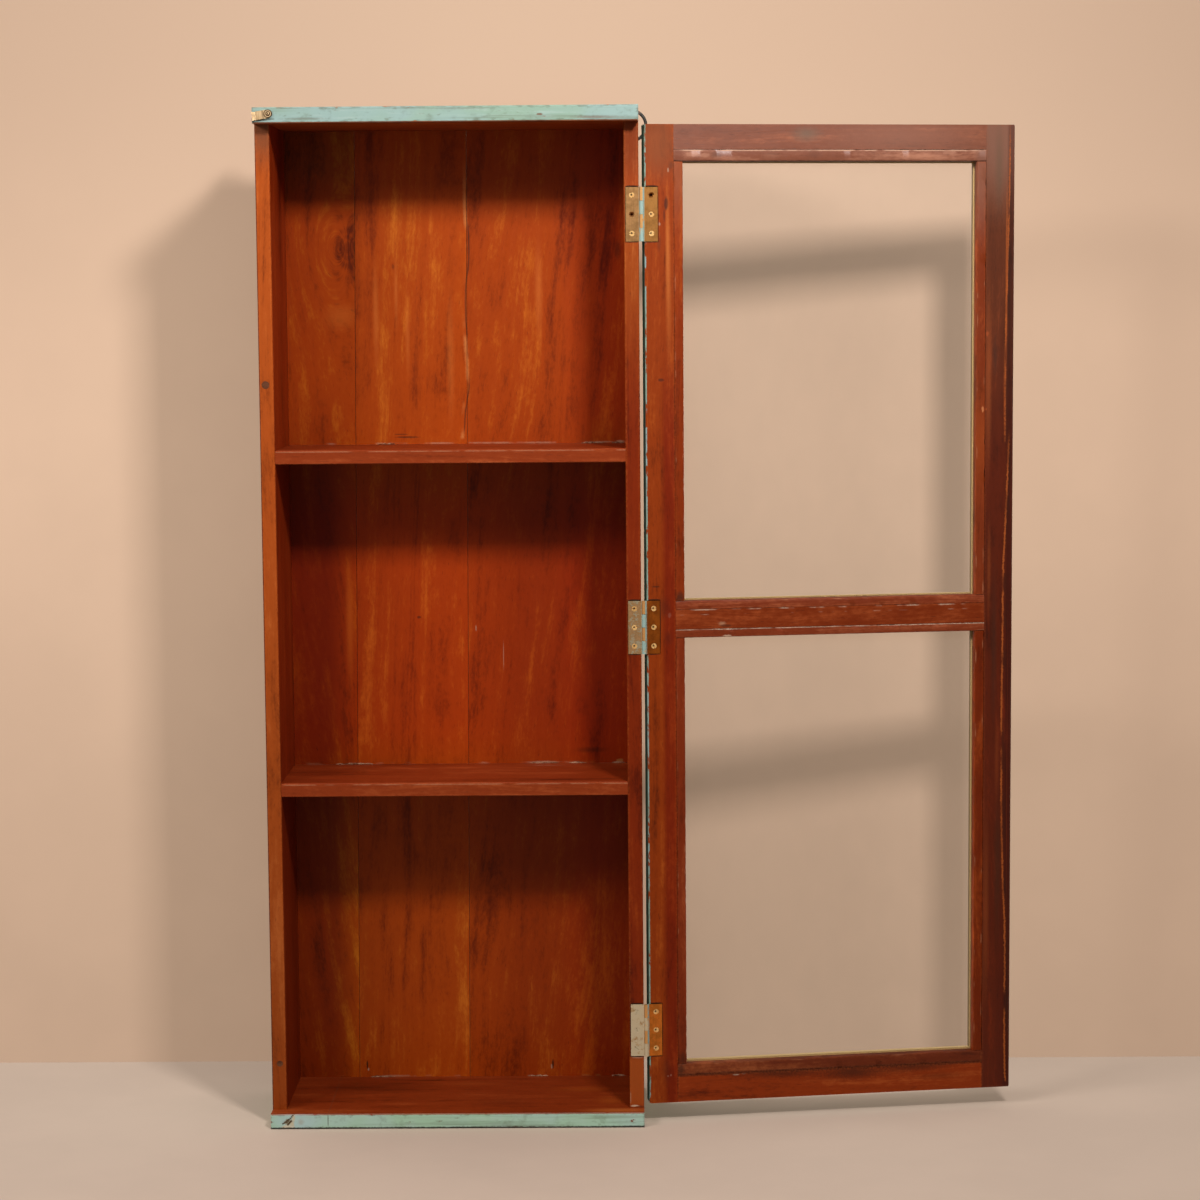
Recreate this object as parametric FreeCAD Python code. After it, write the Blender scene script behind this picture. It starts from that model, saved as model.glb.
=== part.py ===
import FreeCAD, Part
import os

# Glazed wall cabinet, all lengths in millimetres.
# X runs to the right as seen from the front, Y runs back to the wall, Z runs up.
# The origin is the middle of the bottom board's underside.
# Every piece is built with the door shut, and the door is then swung open on its pin.

V = FreeCAD.Vector

# Case
case_width = 440.0
case_height = 1190.0
side_depth = 157.0
top_thick = 18.0
bottom_thick = 18.0
side_thick = 17.0
shelf_thick = 16.0
shelf_setback = 1.0
back_thick = 10.0
end_housing = 5.0
shelf_housing = 5.0
shelf_shoulder = 14.0
back_lap = 6.0
board_ease = 1.2
shelf_ease = 0.8

# Back planks: where the two seams lie at the foot and at the head
left_seam_foot = -130.0
left_seam_head = -119.0
right_seam_foot = 6.0
right_seam_head = 15.0
seam_gap = 0.5

# Plugged holes in the front edge of the left side
plug_depth = 12.0
upper_plug_radius = 4.4
upper_plug_height = 874.0
upper_plug_inset = 7.5
lower_plug_radius = 3.5
lower_plug_height = 73.5
lower_plug_inset = 9.5
plug_play = 0.1

# Nails
nail_radius = 1.1
nail_head_radius = 2.2
nail_head_thick = 0.8
nail_sink = 0.3
back_nail_length = 26.0
case_nail_length = 42.0
nail_play = 0.1
nail_edge_margin = 20.0
case_nails_per_joint = 3
side_nails_per_bay = 1

# Door frame
door_thick = 20.0
door_gap = 1.0
door_top_gap = 3.0
door_bottom_gap = 5.0
door_free_gap = 1.5
stile_face = 34.0
top_rail_face = 28.5
middle_rail_face = 23.0
bottom_rail_face = 32.0
stile_bead = 11.0
top_bead = 14.0
middle_bead = 10.3
bottom_bead = 14.0
lip_thick = 6.0
lip_reach = 1.2
tenon_length = 20.0
tenon_thick = 7.0
tenon_shoulder = 5.0
door_ease = 1.0
bead_ease = 1.5

# Glass and beads
glass_thick = 3.0
glass_play = 1.0
bead_setback = 0.6
pin_length = 19.0
pin_radius = 0.8
pin_play = 0.1
pin_end_margin = 45.0
pins_per_bead = 3

# Butt hinges
hinge_height = 62.0
hinge_top_margin = 71.5
hinge_bottom_margin = 57.5
hinge_middle_lift = 0.5
knuckle_count = 4
knuckle_radius = 2.6
knuckle_gap = 0.3
pivot_radius = 1.2
pivot_seat = 0.02
pivot_play = 0.08
knuckle_clear = 0.3
pivot_outset = 3.4
leaf_thick = 1.5
leaf_reach = 15.2
leaf_play = 0.6
door_open_angle = 189.0

# Hinge screws
screw_head_radius = 3.1
screw_shank_radius = 1.5
screw_length = 14.0
screw_pitch = 21.9
screw_inset = 8.0
screw_play = 0.08
slot_width = 0.9
slot_depth = 0.7
slot_turn = 37.0

# Turn button on the front edge of the top board
button_width = 9.6
button_thick = 1.5
button_foot = 5.0
button_rise_run = 1.6
button_rise = 1.6
button_flat = 7.5
button_lip_run = 4.0
button_lip_rise = 1.8
button_tilt = 10.0
button_inset = 18.7
button_drop = 7.5
button_play = 0.15
washer_radius = 4.1
washer_thick = 0.8
button_screw_radius = 1.7
button_screw_head = 2.7
button_screw_dome = 1.6
button_screw_length = 20.0
button_bore_play = 0.3

# Iron hanging rings behind the top corners
ring_radius = 18.0
ring_wire = 1.9
staple_wire = 1.3
staple_drop = 31.0
staple_inset = 8.0
staple_leg = 13.0
ring_play = 0.3
ring_wall_play = 0.4
staple_play = 0.1

# Places that follow from the sizes above
half_width = case_width / 2
inner_half = half_width - side_thick
recess = door_thick + door_gap
y_front = -(recess + side_depth) / 2
y_side = y_front + recess
y_rear = y_front + recess + side_depth
y_back = y_rear - back_thick
z_floor = bottom_thick
z_ceiling = case_height - top_thick
bay_height = (z_ceiling - z_floor - 2 * shelf_thick) / 3
lower_shelf_top = z_floor + bay_height + shelf_thick
upper_shelf_top = lower_shelf_top + bay_height + shelf_thick
reach = case_width


def block(x0, x1, y0, y1, z0, z1):
    """A box between two corners."""
    return Part.makeBox(x1 - x0, y1 - y0, z1 - z0, V(x0, y0, z0))


def ease(shape, size, wanted):
    """Chamfer the edges of a shape that the test `wanted` picks by their boxes."""
    box = shape.BoundBox
    edges = [edge for edge in shape.Edges if wanted(edge.BoundBox, box)]
    return shape.makeChamfer(size, edges)


def on_front(edge, box):
    """True for an edge that lies in the front face."""
    return edge.YMax < box.YMin + 0.01


def on_front_long(edge, box):
    """True for a front edge that runs along X."""
    return on_front(edge, box) and edge.XLength > edge.ZLength


def on_front_upright(edge, box):
    """True for a front edge that runs along Z."""
    return on_front(edge, box) and edge.ZLength > edge.XLength


def mirror_x(shape):
    """The same shape on the other side of the middle plane."""
    return shape.mirror(V(0, 0, 0), V(1, 0, 0))


def headed(radius, head_radius, head_thick, length, place, direction, extra=0.0):
    """A nail: its head starts at `place` and its shank runs along `direction`."""
    head = Part.makeCylinder(head_radius + extra, head_thick, place, direction)
    shank = Part.makeCylinder(radius + extra, length, place, direction)
    return head.fuse(shank).removeSplitter()


def cut_all(shape, tools):
    """Take every tool away from the shape in one step."""
    return shape.cut(tools) if tools else shape


def export(name, shape):
    """Write one node, a solid or a group of separate solids."""
    shape.exportStep("parts/" + name + ".step")


# Nails through the top and bottom boards into the ends of the sides
case_nail_y = [
    y_side + nail_edge_margin + i * (side_depth - 2 * nail_edge_margin) / (case_nails_per_joint - 1)
    for i in range(case_nails_per_joint)
]


def case_nails(extra):
    """The nails of the four corners, or with `extra` the holes for them."""
    made = []
    for side in (-1, 1):
        x = side * (half_width - side_thick / 2)
        for y in case_nail_y:
            down = V(x, y, case_height - nail_sink)
            made.append(headed(nail_radius, nail_head_radius, nail_head_thick, case_nail_length,
                               down, V(0, 0, -1), extra))
            up = V(x, y, nail_sink)
            made.append(headed(nail_radius, nail_head_radius, nail_head_thick, case_nail_length,
                               up, V(0, 0, 1), extra))
    return made


def sunk_mouths(nail_places):
    """Open the short hole above each sunk nail head."""
    return [Part.makeCylinder(nail_head_radius + nail_play, nail_sink + 1, p, d)
            for p, d in nail_places]


case_mouths = sunk_mouths(
    [(V(s * (half_width - side_thick / 2), y, case_height - nail_sink), V(0, 0, 1))
     for s in (-1, 1) for y in case_nail_y]
    + [(V(s * (half_width - side_thick / 2), y, nail_sink), V(0, 0, -1))
       for s in (-1, 1) for y in case_nail_y])

# Nails through the back planks
seam_lines = [(left_seam_foot, left_seam_head), (right_seam_foot, right_seam_head)]
back_left = -(inner_half + back_lap)
back_right = inner_half + back_lap
back_foot = z_floor - back_lap
back_head = z_ceiling + back_lap


def seam_at(seam, z):
    """X of a seam at height z."""
    foot, head = seam
    return foot + (head - foot) * (z - back_foot) / (back_head - back_foot)


def back_nail_places():
    """Two nails across each plank at every board, and nails down the sides."""
    rows = [z_floor - back_lap / 2, lower_shelf_top - shelf_thick / 2,
            upper_shelf_top - shelf_thick / 2, z_ceiling + back_lap / 2]
    places = []
    for z in rows:
        left = seam_at(seam_lines[0], z)
        right = seam_at(seam_lines[1], z)
        spans = [(back_left, left), (left, right), (right, back_right)]
        for x0, x1 in spans:
            places.append(V(x0 + nail_edge_margin, y_rear - nail_sink, z))
            places.append(V(x1 - nail_edge_margin, y_rear - nail_sink, z))
    for low, high in zip(rows[:-1], rows[1:]):
        for i in range(side_nails_per_bay):
            z = low + (i + 1) * (high - low) / (side_nails_per_bay + 1)
            for side in (-1, 1):
                places.append(V(side * (inner_half + back_lap / 2), y_rear - nail_sink, z))
    return places


def back_nails(extra):
    """The nails that hold the back, or with `extra` the holes for them."""
    return [headed(nail_radius, nail_head_radius, nail_head_thick, back_nail_length,
                   place, V(0, -1, 0), extra) for place in back_nail_places()]


back_holes = back_nails(nail_play)
back_mouths = sunk_mouths([(place, V(0, 1, 0)) for place in back_nail_places()])
case_holes = case_nails(nail_play)

# The space that the back planks fill, cut as a rabbet out of the boards and the sides
back_space = block(back_left, back_right, y_back, y_rear + reach, back_foot, back_head)

# Butt hinge places: centre heights and the pivot line
door_foot = z_floor + door_bottom_gap
door_head = z_ceiling - door_top_gap
door_width = case_width - door_free_gap
hinge_centres = {
    "top": door_head - hinge_top_margin - hinge_height / 2,
    "middle": (door_head - hinge_top_margin + door_foot + hinge_bottom_margin) / 2 + hinge_middle_lift,
    "bottom": door_foot + hinge_bottom_margin + hinge_height / 2,
}
pivot_x = half_width + pivot_outset
pivot_y = y_side - door_gap / 2
screw_heights = [-screw_pitch, 0.0, screw_pitch]
empty_case_holes = [("top", 1)]
empty_door_holes = [("top", 2)]


def screw(place, direction, extra):
    """A countersunk screw with its head flush at `place`, or with `extra` its hole."""
    cone = screw_head_radius - screw_shank_radius
    head = Part.makeCone(screw_head_radius + extra, screw_shank_radius + extra, cone, place, direction)
    shank = Part.makeCylinder(screw_shank_radius + extra, screw_length, place, direction)
    return head.fuse(shank).removeSplitter()


def slotted(place, direction, turn):
    """A hinge screw with a driver slot turned by `turn` degrees."""
    body = screw(place, direction, 0.0)
    slot = block(-screw_head_radius, screw_head_radius, -slot_depth, slot_depth,
                 -slot_width / 2, slot_width / 2)
    slot.rotate(V(0, 0, 0), V(0, 1, 0), turn)
    slot.translate(place)
    return body.cut(slot)


def leaf_sites(y_face, direction, empty):
    """Every screw site of one row of leaves: its place, direction, turn and if it is filled."""
    sites = []
    for number, (name, z) in enumerate(hinge_centres.items()):
        for i, dz in enumerate(screw_heights):
            place = V(half_width - screw_inset, y_face, z + dz)
            sites.append((place, direction, slot_turn * (3 * number + i), (name, i) not in empty))
    return sites


case_sites = leaf_sites(y_side, V(0, 1, 0), empty_case_holes)
door_sites = leaf_sites(y_side - door_gap, V(0, -1, 0), empty_door_holes)
case_screw_holes = [screw(p, d, screw_play) for p, d, turn, filled in case_sites]
door_screw_holes = [screw(p, d, screw_play) for p, d, turn, filled in door_sites]


def leaf_mortises(y0, y1):
    """The shallow housings that let the leaves in flush."""
    return [block(half_width - leaf_reach - leaf_play, half_width + reach, y0, y1,
                  z - hinge_height / 2 - leaf_play, z + hinge_height / 2 + leaf_play)
            for z in hinge_centres.values()]


# Hanging staples: two legs and a round bow that the ring's wire turns in
staple_x = half_width - staple_inset
staple_z = case_height - staple_drop
ring_y = y_rear + ring_wall_play + ring_wire
bow_radius = ring_wire + ring_play + staple_wire


def staple(extra):
    """A wire staple across the ring's wire, or with `extra` the holes for its legs."""
    legs = []
    for dz in (-bow_radius, bow_radius):
        start = V(staple_x, y_rear - staple_leg, staple_z + dz)
        legs.append(Part.makeCylinder(staple_wire + extra, ring_y - y_rear + staple_leg, start, V(0, 1, 0)))
    section = Part.Circle(V(staple_x, ring_y, staple_z - bow_radius), V(0, 1, 0), staple_wire + extra)
    disc = Part.Face(Part.Wire(section.toShape()))
    bow = disc.revolve(V(staple_x, ring_y, staple_z), V(1, 0, 0), 180)
    return bow.fuse(legs).removeSplitter()


right_staple = staple(0.0)
right_staple_hole = staple(staple_play)
right_ring = Part.makeTorus(ring_radius, ring_wire, V(staple_x, ring_y, staple_z + ring_radius), V(0, 1, 0))


# Top and bottom boards: each end is rabbeted for a side, the rear edge for the back
def end_board(z0, z1, joint_z0, joint_z1):
    """A full-width board with its end rabbets."""
    board = ease(block(-half_width, half_width, y_front, y_rear, z0, z1), board_ease, on_front)
    rabbets = [block(inner_half, half_width + reach, y_side, y_rear + reach, joint_z0, joint_z1),
               block(-half_width - reach, -inner_half, y_side, y_rear + reach, joint_z0, joint_z1),
               back_space]
    return cut_all(board, rabbets + case_holes + case_mouths + back_holes)


button_x = -half_width + button_inset
button_z = case_height - button_drop
screw_under_head = button_play + button_thick + button_play + washer_thick
button_screw_hole = Part.makeCylinder(button_screw_radius + screw_play, button_screw_length + screw_play,
                                      V(button_x, y_front, button_z), V(0, 1, 0))

top_board = end_board(z_ceiling, case_height, z_ceiling, z_ceiling + end_housing)
top_board = top_board.cut(button_screw_hole)
bottom_board = end_board(0.0, bottom_thick, z_floor - end_housing, z_floor)


# Sides: housed for the shelves, rabbeted for the back
def plain_side():
    """The right side before its own cuts."""
    board = block(inner_half, half_width, y_side, y_rear, z_floor - end_housing, z_ceiling + end_housing)
    board = ease(board, shelf_ease, on_front_upright)
    housings = [block(inner_half - reach, inner_half + shelf_housing, y_side + shelf_shoulder,
                      y_back, z - shelf_thick, z) for z in (lower_shelf_top, upper_shelf_top)]
    return cut_all(board, housings + [back_space, right_staple_hole])


plug_sites = [
    (V(-half_width + upper_plug_inset, y_side, upper_plug_height), upper_plug_radius),
    (V(-half_width + lower_plug_inset, y_side, lower_plug_height), lower_plug_radius),
]
plug_holes = [Part.makeCylinder(r + plug_play, plug_depth, p, V(0, 1, 0)) for p, r in plug_sites]
plugs = [Part.makeCylinder(r, plug_depth, p, V(0, 1, 0)) for p, r in plug_sites]

right_side = cut_all(plain_side(), leaf_mortises(y_side - door_gap, y_side + leaf_thick)
                     + case_screw_holes + case_holes + back_holes)
left_side = cut_all(mirror_x(plain_side()), plug_holes + case_holes + back_holes)


# Shelves: the front corners are notched so that the housings stop short of the front
def shelf(z):
    """A fixed shelf whose top lies at height z."""
    width = inner_half + shelf_housing
    board = block(-width, width, y_side + shelf_setback, y_back, z - shelf_thick, z)
    board = ease(board, shelf_ease, on_front_long)
    notches = [block(inner_half, half_width, y_side, y_side + shelf_shoulder, z - shelf_thick, z),
               block(-half_width, -inner_half, y_side, y_side + shelf_shoulder, z - shelf_thick, z)]
    return cut_all(board, notches + back_holes)


# Back planks with leaning seams
def plank(foot0, foot1, head1, head0):
    """A back plank between two lines, given at its foot and its head."""
    corners = [V(foot0, y_back, back_foot), V(foot1, y_back, back_foot),
               V(head1, y_back, back_head), V(head0, y_back, back_head)]
    face = Part.Face(Part.makePolygon(corners + corners[:1]))
    return cut_all(face.extrude(V(0, back_thick, 0)), back_holes + back_mouths)


half_gap = seam_gap / 2
back_plank_left = plank(back_left, left_seam_foot - half_gap, left_seam_head - half_gap, back_left)
back_plank_middle = plank(left_seam_foot + half_gap, right_seam_foot - half_gap,
                          right_seam_head - half_gap, left_seam_head + half_gap)
back_plank_right = plank(right_seam_foot + half_gap, back_right, back_right, right_seam_head + half_gap)

# Door frame, drawn shut. The outer face is the front one, the beads go in from behind.
door_out = y_front
door_in = y_front + door_thick
lip_face = door_out + lip_thick
hinge_edge = half_width
free_edge = half_width - door_width
hinge_rebate = hinge_edge - stile_face
free_rebate = free_edge + stile_face
hinge_sight = hinge_rebate - stile_bead
free_sight = free_rebate + stile_bead
top_rebate = door_head - top_rail_face
bottom_rebate = door_foot + bottom_rail_face
top_sight = top_rebate - top_bead
bottom_sight = bottom_rebate + bottom_bead
middle_block = middle_rail_face + 2 * middle_bead
pane_height = (top_sight - bottom_sight - middle_block) / 2
lower_sight = bottom_sight + pane_height
middle_foot = lower_sight + middle_bead
middle_head = middle_foot + middle_rail_face
upper_sight = middle_head + middle_bead
tenon_y0 = (door_out + door_in - tenon_thick) / 2
tenon_y1 = tenon_y0 + tenon_thick
bead_face = door_in - bead_setback
bead_seat = lip_face + glass_thick


def tenons(z0, z1, extra):
    """The two tenons of a rail whose inner face runs from z0 to z1."""
    return [block(hinge_rebate - extra, hinge_rebate + tenon_length, tenon_y0, tenon_y1,
                  z0 + tenon_shoulder, z1 - tenon_shoulder),
            block(free_rebate - tenon_length, free_rebate + extra, tenon_y0, tenon_y1,
                  z0 + tenon_shoulder, z1 - tenon_shoulder)]


rail_spans = {
    "top": (top_rebate, door_head),
    "middle": (middle_foot, middle_head),
    "bottom": (door_foot, bottom_rebate),
}


def rail(z0, z1, lip_z0, lip_z1):
    """A rail: a thick inner part between the rebates, a thin lip and two tenons."""
    thick = block(free_rebate, hinge_rebate, lip_face, door_in, z0, z1)
    lip = block(free_sight + lip_reach, hinge_sight - lip_reach, door_out, lip_face, lip_z0, lip_z1)
    body = thick.fuse([lip] + tenons(z0, z1, 0.0)).removeSplitter()
    return cut_all(body, bead_pin_holes)


def stile(outer, rebate, sight):
    """A full-height stile with a rebate along its inner edge and mortises for the rails."""
    low = min(outer, sight)
    high = max(outer, sight)
    body = block(low, high, door_out, door_in, door_foot, door_head)
    body = ease(body, door_ease, lambda edge, box: max(abs(edge.XMin - outer), abs(edge.XMax - outer)) < 0.01)
    rebate_cut = block(min(rebate, sight - (rebate - sight)), max(rebate, sight - (rebate - sight)),
                       lip_face, door_in + door_thick, door_foot - reach, door_head + reach)
    mortises = [tenon for z0, z1 in rail_spans.values() for tenon in tenons(z0, z1, stile_bead)]
    return cut_all(body, [rebate_cut] + mortises + bead_pin_holes)


# Beads and glass of the two panes
panes = {
    "upper": (middle_head, upper_sight, top_sight, top_rebate),
    "lower": (bottom_rebate, bottom_sight, lower_sight, middle_foot),
}
pin_y = (bead_seat + bead_face) / 2


def pin(place, direction, extra):
    """A panel pin from the sight edge of a bead into the frame."""
    return Part.makeCylinder(pin_radius + extra, pin_length, place, direction)


def spread(low, high):
    """Even places between two ends, kept a margin from both."""
    span = high - low - 2 * pin_end_margin
    return [low + pin_end_margin + i * span / (pins_per_bead - 1) for i in range(pins_per_bead)]


def bead_pins(extra):
    """Every panel pin, or with `extra` the holes for them."""
    made = []
    for foot, sight_foot, sight_head, head in panes.values():
        for z in spread(sight_foot, sight_head):
            made.append(pin(V(hinge_sight, pin_y, z), V(1, 0, 0), extra))
            made.append(pin(V(free_sight, pin_y, z), V(-1, 0, 0), extra))
        for x in spread(free_rebate, hinge_rebate):
            made.append(pin(V(x, pin_y, sight_foot), V(0, 0, -1), extra))
            made.append(pin(V(x, pin_y, sight_head), V(0, 0, 1), extra))
    return made


bead_pin_holes = bead_pins(pin_play)


def bead(x0, x1, z0, z1, wanted):
    """A glazing bead with its sight edge taken off at a slant."""
    strip = block(x0, x1, bead_seat, bead_face, z0, z1)
    return cut_all(ease(strip, bead_ease, wanted), bead_pin_holes)


def inner_edge(axis, at):
    """A test for the edge of a bead's inner face that looks into the opening."""
    def test(edge, box):
        low, high = (edge.XMin, edge.XMax) if axis == "x" else (edge.ZMin, edge.ZMax)
        return edge.YMin > box.YMax - 0.01 and abs(low - at) < 0.01 and abs(high - at) < 0.01
    return test


# Hinge leaves, knuckles and pivots
knuckle_height = hinge_height / knuckle_count


def leaf(z, y0, y1, own, holes):
    """A leaf with its own knuckles; `own` is 0 or 1 for the knuckles counted from the foot."""
    foot = z - hinge_height / 2
    plate = block(half_width - leaf_reach, pivot_x, y0, y1, foot, foot + hinge_height)
    knuckles = []
    clears = []
    for i in range(knuckle_count):
        low = foot + i * knuckle_height
        if i % 2 == own:
            shrink_low = knuckle_gap / 2 if i > 0 else 0.0
            shrink_high = knuckle_gap / 2 if i < knuckle_count - 1 else 0.0
            knuckles.append(Part.makeCylinder(knuckle_radius, knuckle_height - shrink_low - shrink_high,
                                              V(pivot_x, pivot_y, low + shrink_low), V(0, 0, 1)))
        else:
            over_low = knuckle_gap / 2 if i > 0 else reach
            over_high = knuckle_gap / 2 if i < knuckle_count - 1 else reach
            tall = knuckle_height + over_low + over_high
            clears.append(Part.makeCylinder(knuckle_radius + knuckle_clear, tall,
                                            V(pivot_x, pivot_y, low - over_low), V(0, 0, 1)))
    plate = plate.cut(clears).fuse(knuckles).removeSplitter()
    play = pivot_seat if own == 0 else pivot_play
    bore = Part.makeCylinder(pivot_radius + play, hinge_height + reach, V(pivot_x, pivot_y, foot - reach / 2))
    return cut_all(plate, [bore] + holes)


def pivot(z):
    """The hinge pin, as long as the hinge."""
    return Part.makeCylinder(pivot_radius, hinge_height, V(pivot_x, pivot_y, z - hinge_height / 2))


# Turn button, drawn lying along X with its back on the plane y = 0, then turned and placed
button_end = button_foot + button_rise_run + button_flat + button_lip_run
button_line = [
    (-button_width / 2, 0.0),
    (button_foot, 0.0),
    (button_foot + button_rise_run, button_rise),
    (button_foot + button_rise_run + button_flat, button_rise),
    (button_end, button_rise + button_lip_rise),
]


def placed_on_front(shape, stand_off):
    """Move a shape from the origin to the button's screw, `stand_off` in front of the board."""
    shape.translate(V(button_x, y_front - stand_off, button_z))
    return shape


def turn_button_shape():
    """A cranked plate with a round end for the screw and a lip for the finger."""
    under = [V(x, -y, -button_width / 2) for x, y in button_line]
    over = [V(x, -y - button_thick, -button_width / 2) for x, y in reversed(button_line)]
    side_face = Part.Face(Part.makePolygon(under + over + under[:1]))
    strip = side_face.extrude(V(0, 0, button_width))
    tall = button_rise + button_lip_rise + button_thick
    disc = Part.makeCylinder(button_width / 2, tall, V(0, 0, 0), V(0, -1, 0))
    arm = block(0.0, button_end, -tall, 0.0, -button_width / 2, button_width / 2)
    plate = strip.common(disc.fuse(arm))
    bore = Part.makeCylinder(button_screw_radius + button_bore_play, tall, V(0, 0, 0), V(0, -1, 0))
    plate = plate.cut(bore)
    plate.rotate(V(0, 0, 0), V(0, -1, 0), 180 + button_tilt)
    return placed_on_front(plate, button_play)


def button_washer_shape():
    """The washer between the turn button and the screw head."""
    ring = Part.makeCylinder(washer_radius, washer_thick, V(0, 0, 0), V(0, -1, 0))
    bore = Part.makeCylinder(button_screw_radius + screw_play, washer_thick, V(0, 0, 0), V(0, -1, 0))
    ring = ring.cut(bore)
    return placed_on_front(ring, 2 * button_play + button_thick)


def button_screw_shape():
    """A round-headed screw whose head holds the washer."""
    shank = Part.makeCylinder(button_screw_radius, button_screw_length + screw_under_head,
                              V(0, -screw_under_head, 0), V(0, 1, 0))
    sphere_radius = (button_screw_head ** 2 + button_screw_dome ** 2) / (2 * button_screw_dome)
    centre = V(0, -screw_under_head - button_screw_dome + sphere_radius, 0)
    ball = Part.makeSphere(sphere_radius, centre)
    cap = ball.common(block(-reach, reach, -reach, -screw_under_head, -reach, reach))
    slot_floor = -screw_under_head - button_screw_dome + slot_depth
    slot = block(-reach, reach, slot_floor - reach, slot_floor, -slot_width / 2, slot_width / 2)
    slot.rotate(V(0, 0, 0), V(0, 1, 0), slot_turn)
    return placed_on_front(shank.fuse(cap).removeSplitter().cut(slot), 0.0)


case_nodes = {
    "top_board": top_board,
    "bottom_board": bottom_board,
    "left_side": left_side,
    "right_side": right_side,
    "upper_shelf": shelf(upper_shelf_top),
    "lower_shelf": shelf(lower_shelf_top),
    "back_plank_left": back_plank_left,
    "back_plank_middle": back_plank_middle,
    "back_plank_right": back_plank_right,
    "edge_plugs": Part.makeCompound(plugs),
    "case_nails": Part.makeCompound(case_nails(0.0)),
    "back_nails": Part.makeCompound(back_nails(0.0)),
    "case_hinge_screws": Part.makeCompound([slotted(p, d, t) for p, d, t, filled in case_sites if filled]),
    "turn_button": turn_button_shape(),
    "turn_button_washer": button_washer_shape(),
    "turn_button_screw": button_screw_shape(),
    "right_hanger_staple": right_staple,
    "left_hanger_staple": mirror_x(right_staple),
    "right_hanger_ring": right_ring,
    "left_hanger_ring": mirror_x(right_ring),
}

door_nodes = {
    "door_hinge_stile": cut_all(stile(hinge_edge, hinge_rebate, hinge_sight - lip_reach),
                                leaf_mortises(door_in - leaf_thick, y_side) + door_screw_holes),
    "door_free_stile": stile(free_edge, free_rebate, free_sight + lip_reach),
    "door_top_rail": rail(*rail_spans["top"], top_sight - lip_reach, door_head),
    "door_middle_rail": rail(*rail_spans["middle"], lower_sight - lip_reach, upper_sight + lip_reach),
    "door_bottom_rail": rail(*rail_spans["bottom"], door_foot, bottom_sight + lip_reach),
    "door_hinge_screws": Part.makeCompound([slotted(p, d, t) for p, d, t, filled in door_sites if filled]),
    "bead_pins": Part.makeCompound(bead_pins(0.0)),
}
for pane, (foot, sight_foot, sight_head, head) in panes.items():
    door_nodes[pane + "_glass"] = block(free_rebate + glass_play, hinge_rebate - glass_play,
                                        lip_face, bead_seat, foot + glass_play, head - glass_play)
    door_nodes[pane + "_bead_top"] = bead(free_rebate, hinge_rebate, sight_head, head,
                                          inner_edge("z", sight_head))
    door_nodes[pane + "_bead_bottom"] = bead(free_rebate, hinge_rebate, foot, sight_foot,
                                             inner_edge("z", sight_foot))
    door_nodes[pane + "_bead_hinge_side"] = bead(hinge_sight, hinge_rebate, sight_foot, sight_head,
                                                 inner_edge("x", hinge_sight))
    door_nodes[pane + "_bead_free_side"] = bead(free_rebate, free_sight, sight_foot, sight_head,
                                                inner_edge("x", free_sight))
for name, z in hinge_centres.items():
    case_nodes["hinge_" + name + "_case_leaf"] = leaf(z, y_side, y_side + leaf_thick, 0, case_screw_holes)
    case_nodes["hinge_" + name + "_pin"] = pivot(z)
    door_nodes["hinge_" + name + "_door_leaf"] = leaf(z, door_in - leaf_thick, door_in, 1, door_screw_holes)

for shape in door_nodes.values():
    shape.rotate(V(pivot_x, pivot_y, 0), V(0, 0, 1), door_open_angle)

os.makedirs("parts", exist_ok=True)
for name, shape in list(case_nodes.items()) + list(door_nodes.items()):
    export(name, shape)
    print(name, "solids", len(shape.Solids), "valid", shape.isValid(), "volume", round(shape.Volume, 1))
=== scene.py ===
"""Glazed teak wall cabinet: old polished teak inside, worn sea-green paint outside, brass and iron fittings."""
import logging
import math
import random
from collections.abc import Callable
from dataclasses import dataclass, replace
from enum import Enum

import bmesh
import bpy
from mathutils import Matrix, Vector


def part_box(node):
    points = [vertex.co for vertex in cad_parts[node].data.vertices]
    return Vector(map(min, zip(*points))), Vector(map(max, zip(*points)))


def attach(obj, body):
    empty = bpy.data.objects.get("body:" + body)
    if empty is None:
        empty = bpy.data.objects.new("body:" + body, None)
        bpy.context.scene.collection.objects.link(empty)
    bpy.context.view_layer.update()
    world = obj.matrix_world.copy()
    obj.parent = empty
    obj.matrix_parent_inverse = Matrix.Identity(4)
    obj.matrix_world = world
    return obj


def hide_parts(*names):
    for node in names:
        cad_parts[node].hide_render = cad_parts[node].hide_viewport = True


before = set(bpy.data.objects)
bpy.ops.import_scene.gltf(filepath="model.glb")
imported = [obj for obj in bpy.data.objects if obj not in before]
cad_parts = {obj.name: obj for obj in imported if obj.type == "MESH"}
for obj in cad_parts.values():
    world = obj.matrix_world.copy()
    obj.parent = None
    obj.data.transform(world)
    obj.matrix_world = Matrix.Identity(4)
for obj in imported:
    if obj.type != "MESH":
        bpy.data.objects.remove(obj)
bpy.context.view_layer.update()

log = logging.getLogger("cabinet")

RGB = tuple[float, float, float]
Pair = tuple[float, float]
Triple = tuple[float, float, float]
Face = tuple[str, float]
Socket = bpy.types.NodeSocket

# X and Y of the hinge pins, the angle that the door stands open at, and the heights of the hinges from the top down.
DOOR_PIN: Pair = (0.2234, -0.0685)
DOOR_SWING = math.radians(189.0)
HINGES: Triple = (1.0665, 0.5895, 0.1115)

# Faces of a board, as the axis and sign of the way they look.
FRONT: Face = ("y", -1.0)
REAR: Face = ("y", 1.0)

MILLIMETRE = 0.001


class Grain(Enum):
    """The way that the fibres of a board run."""

    ALONG_X = "x"
    ALONG_Z = "z"


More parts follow.
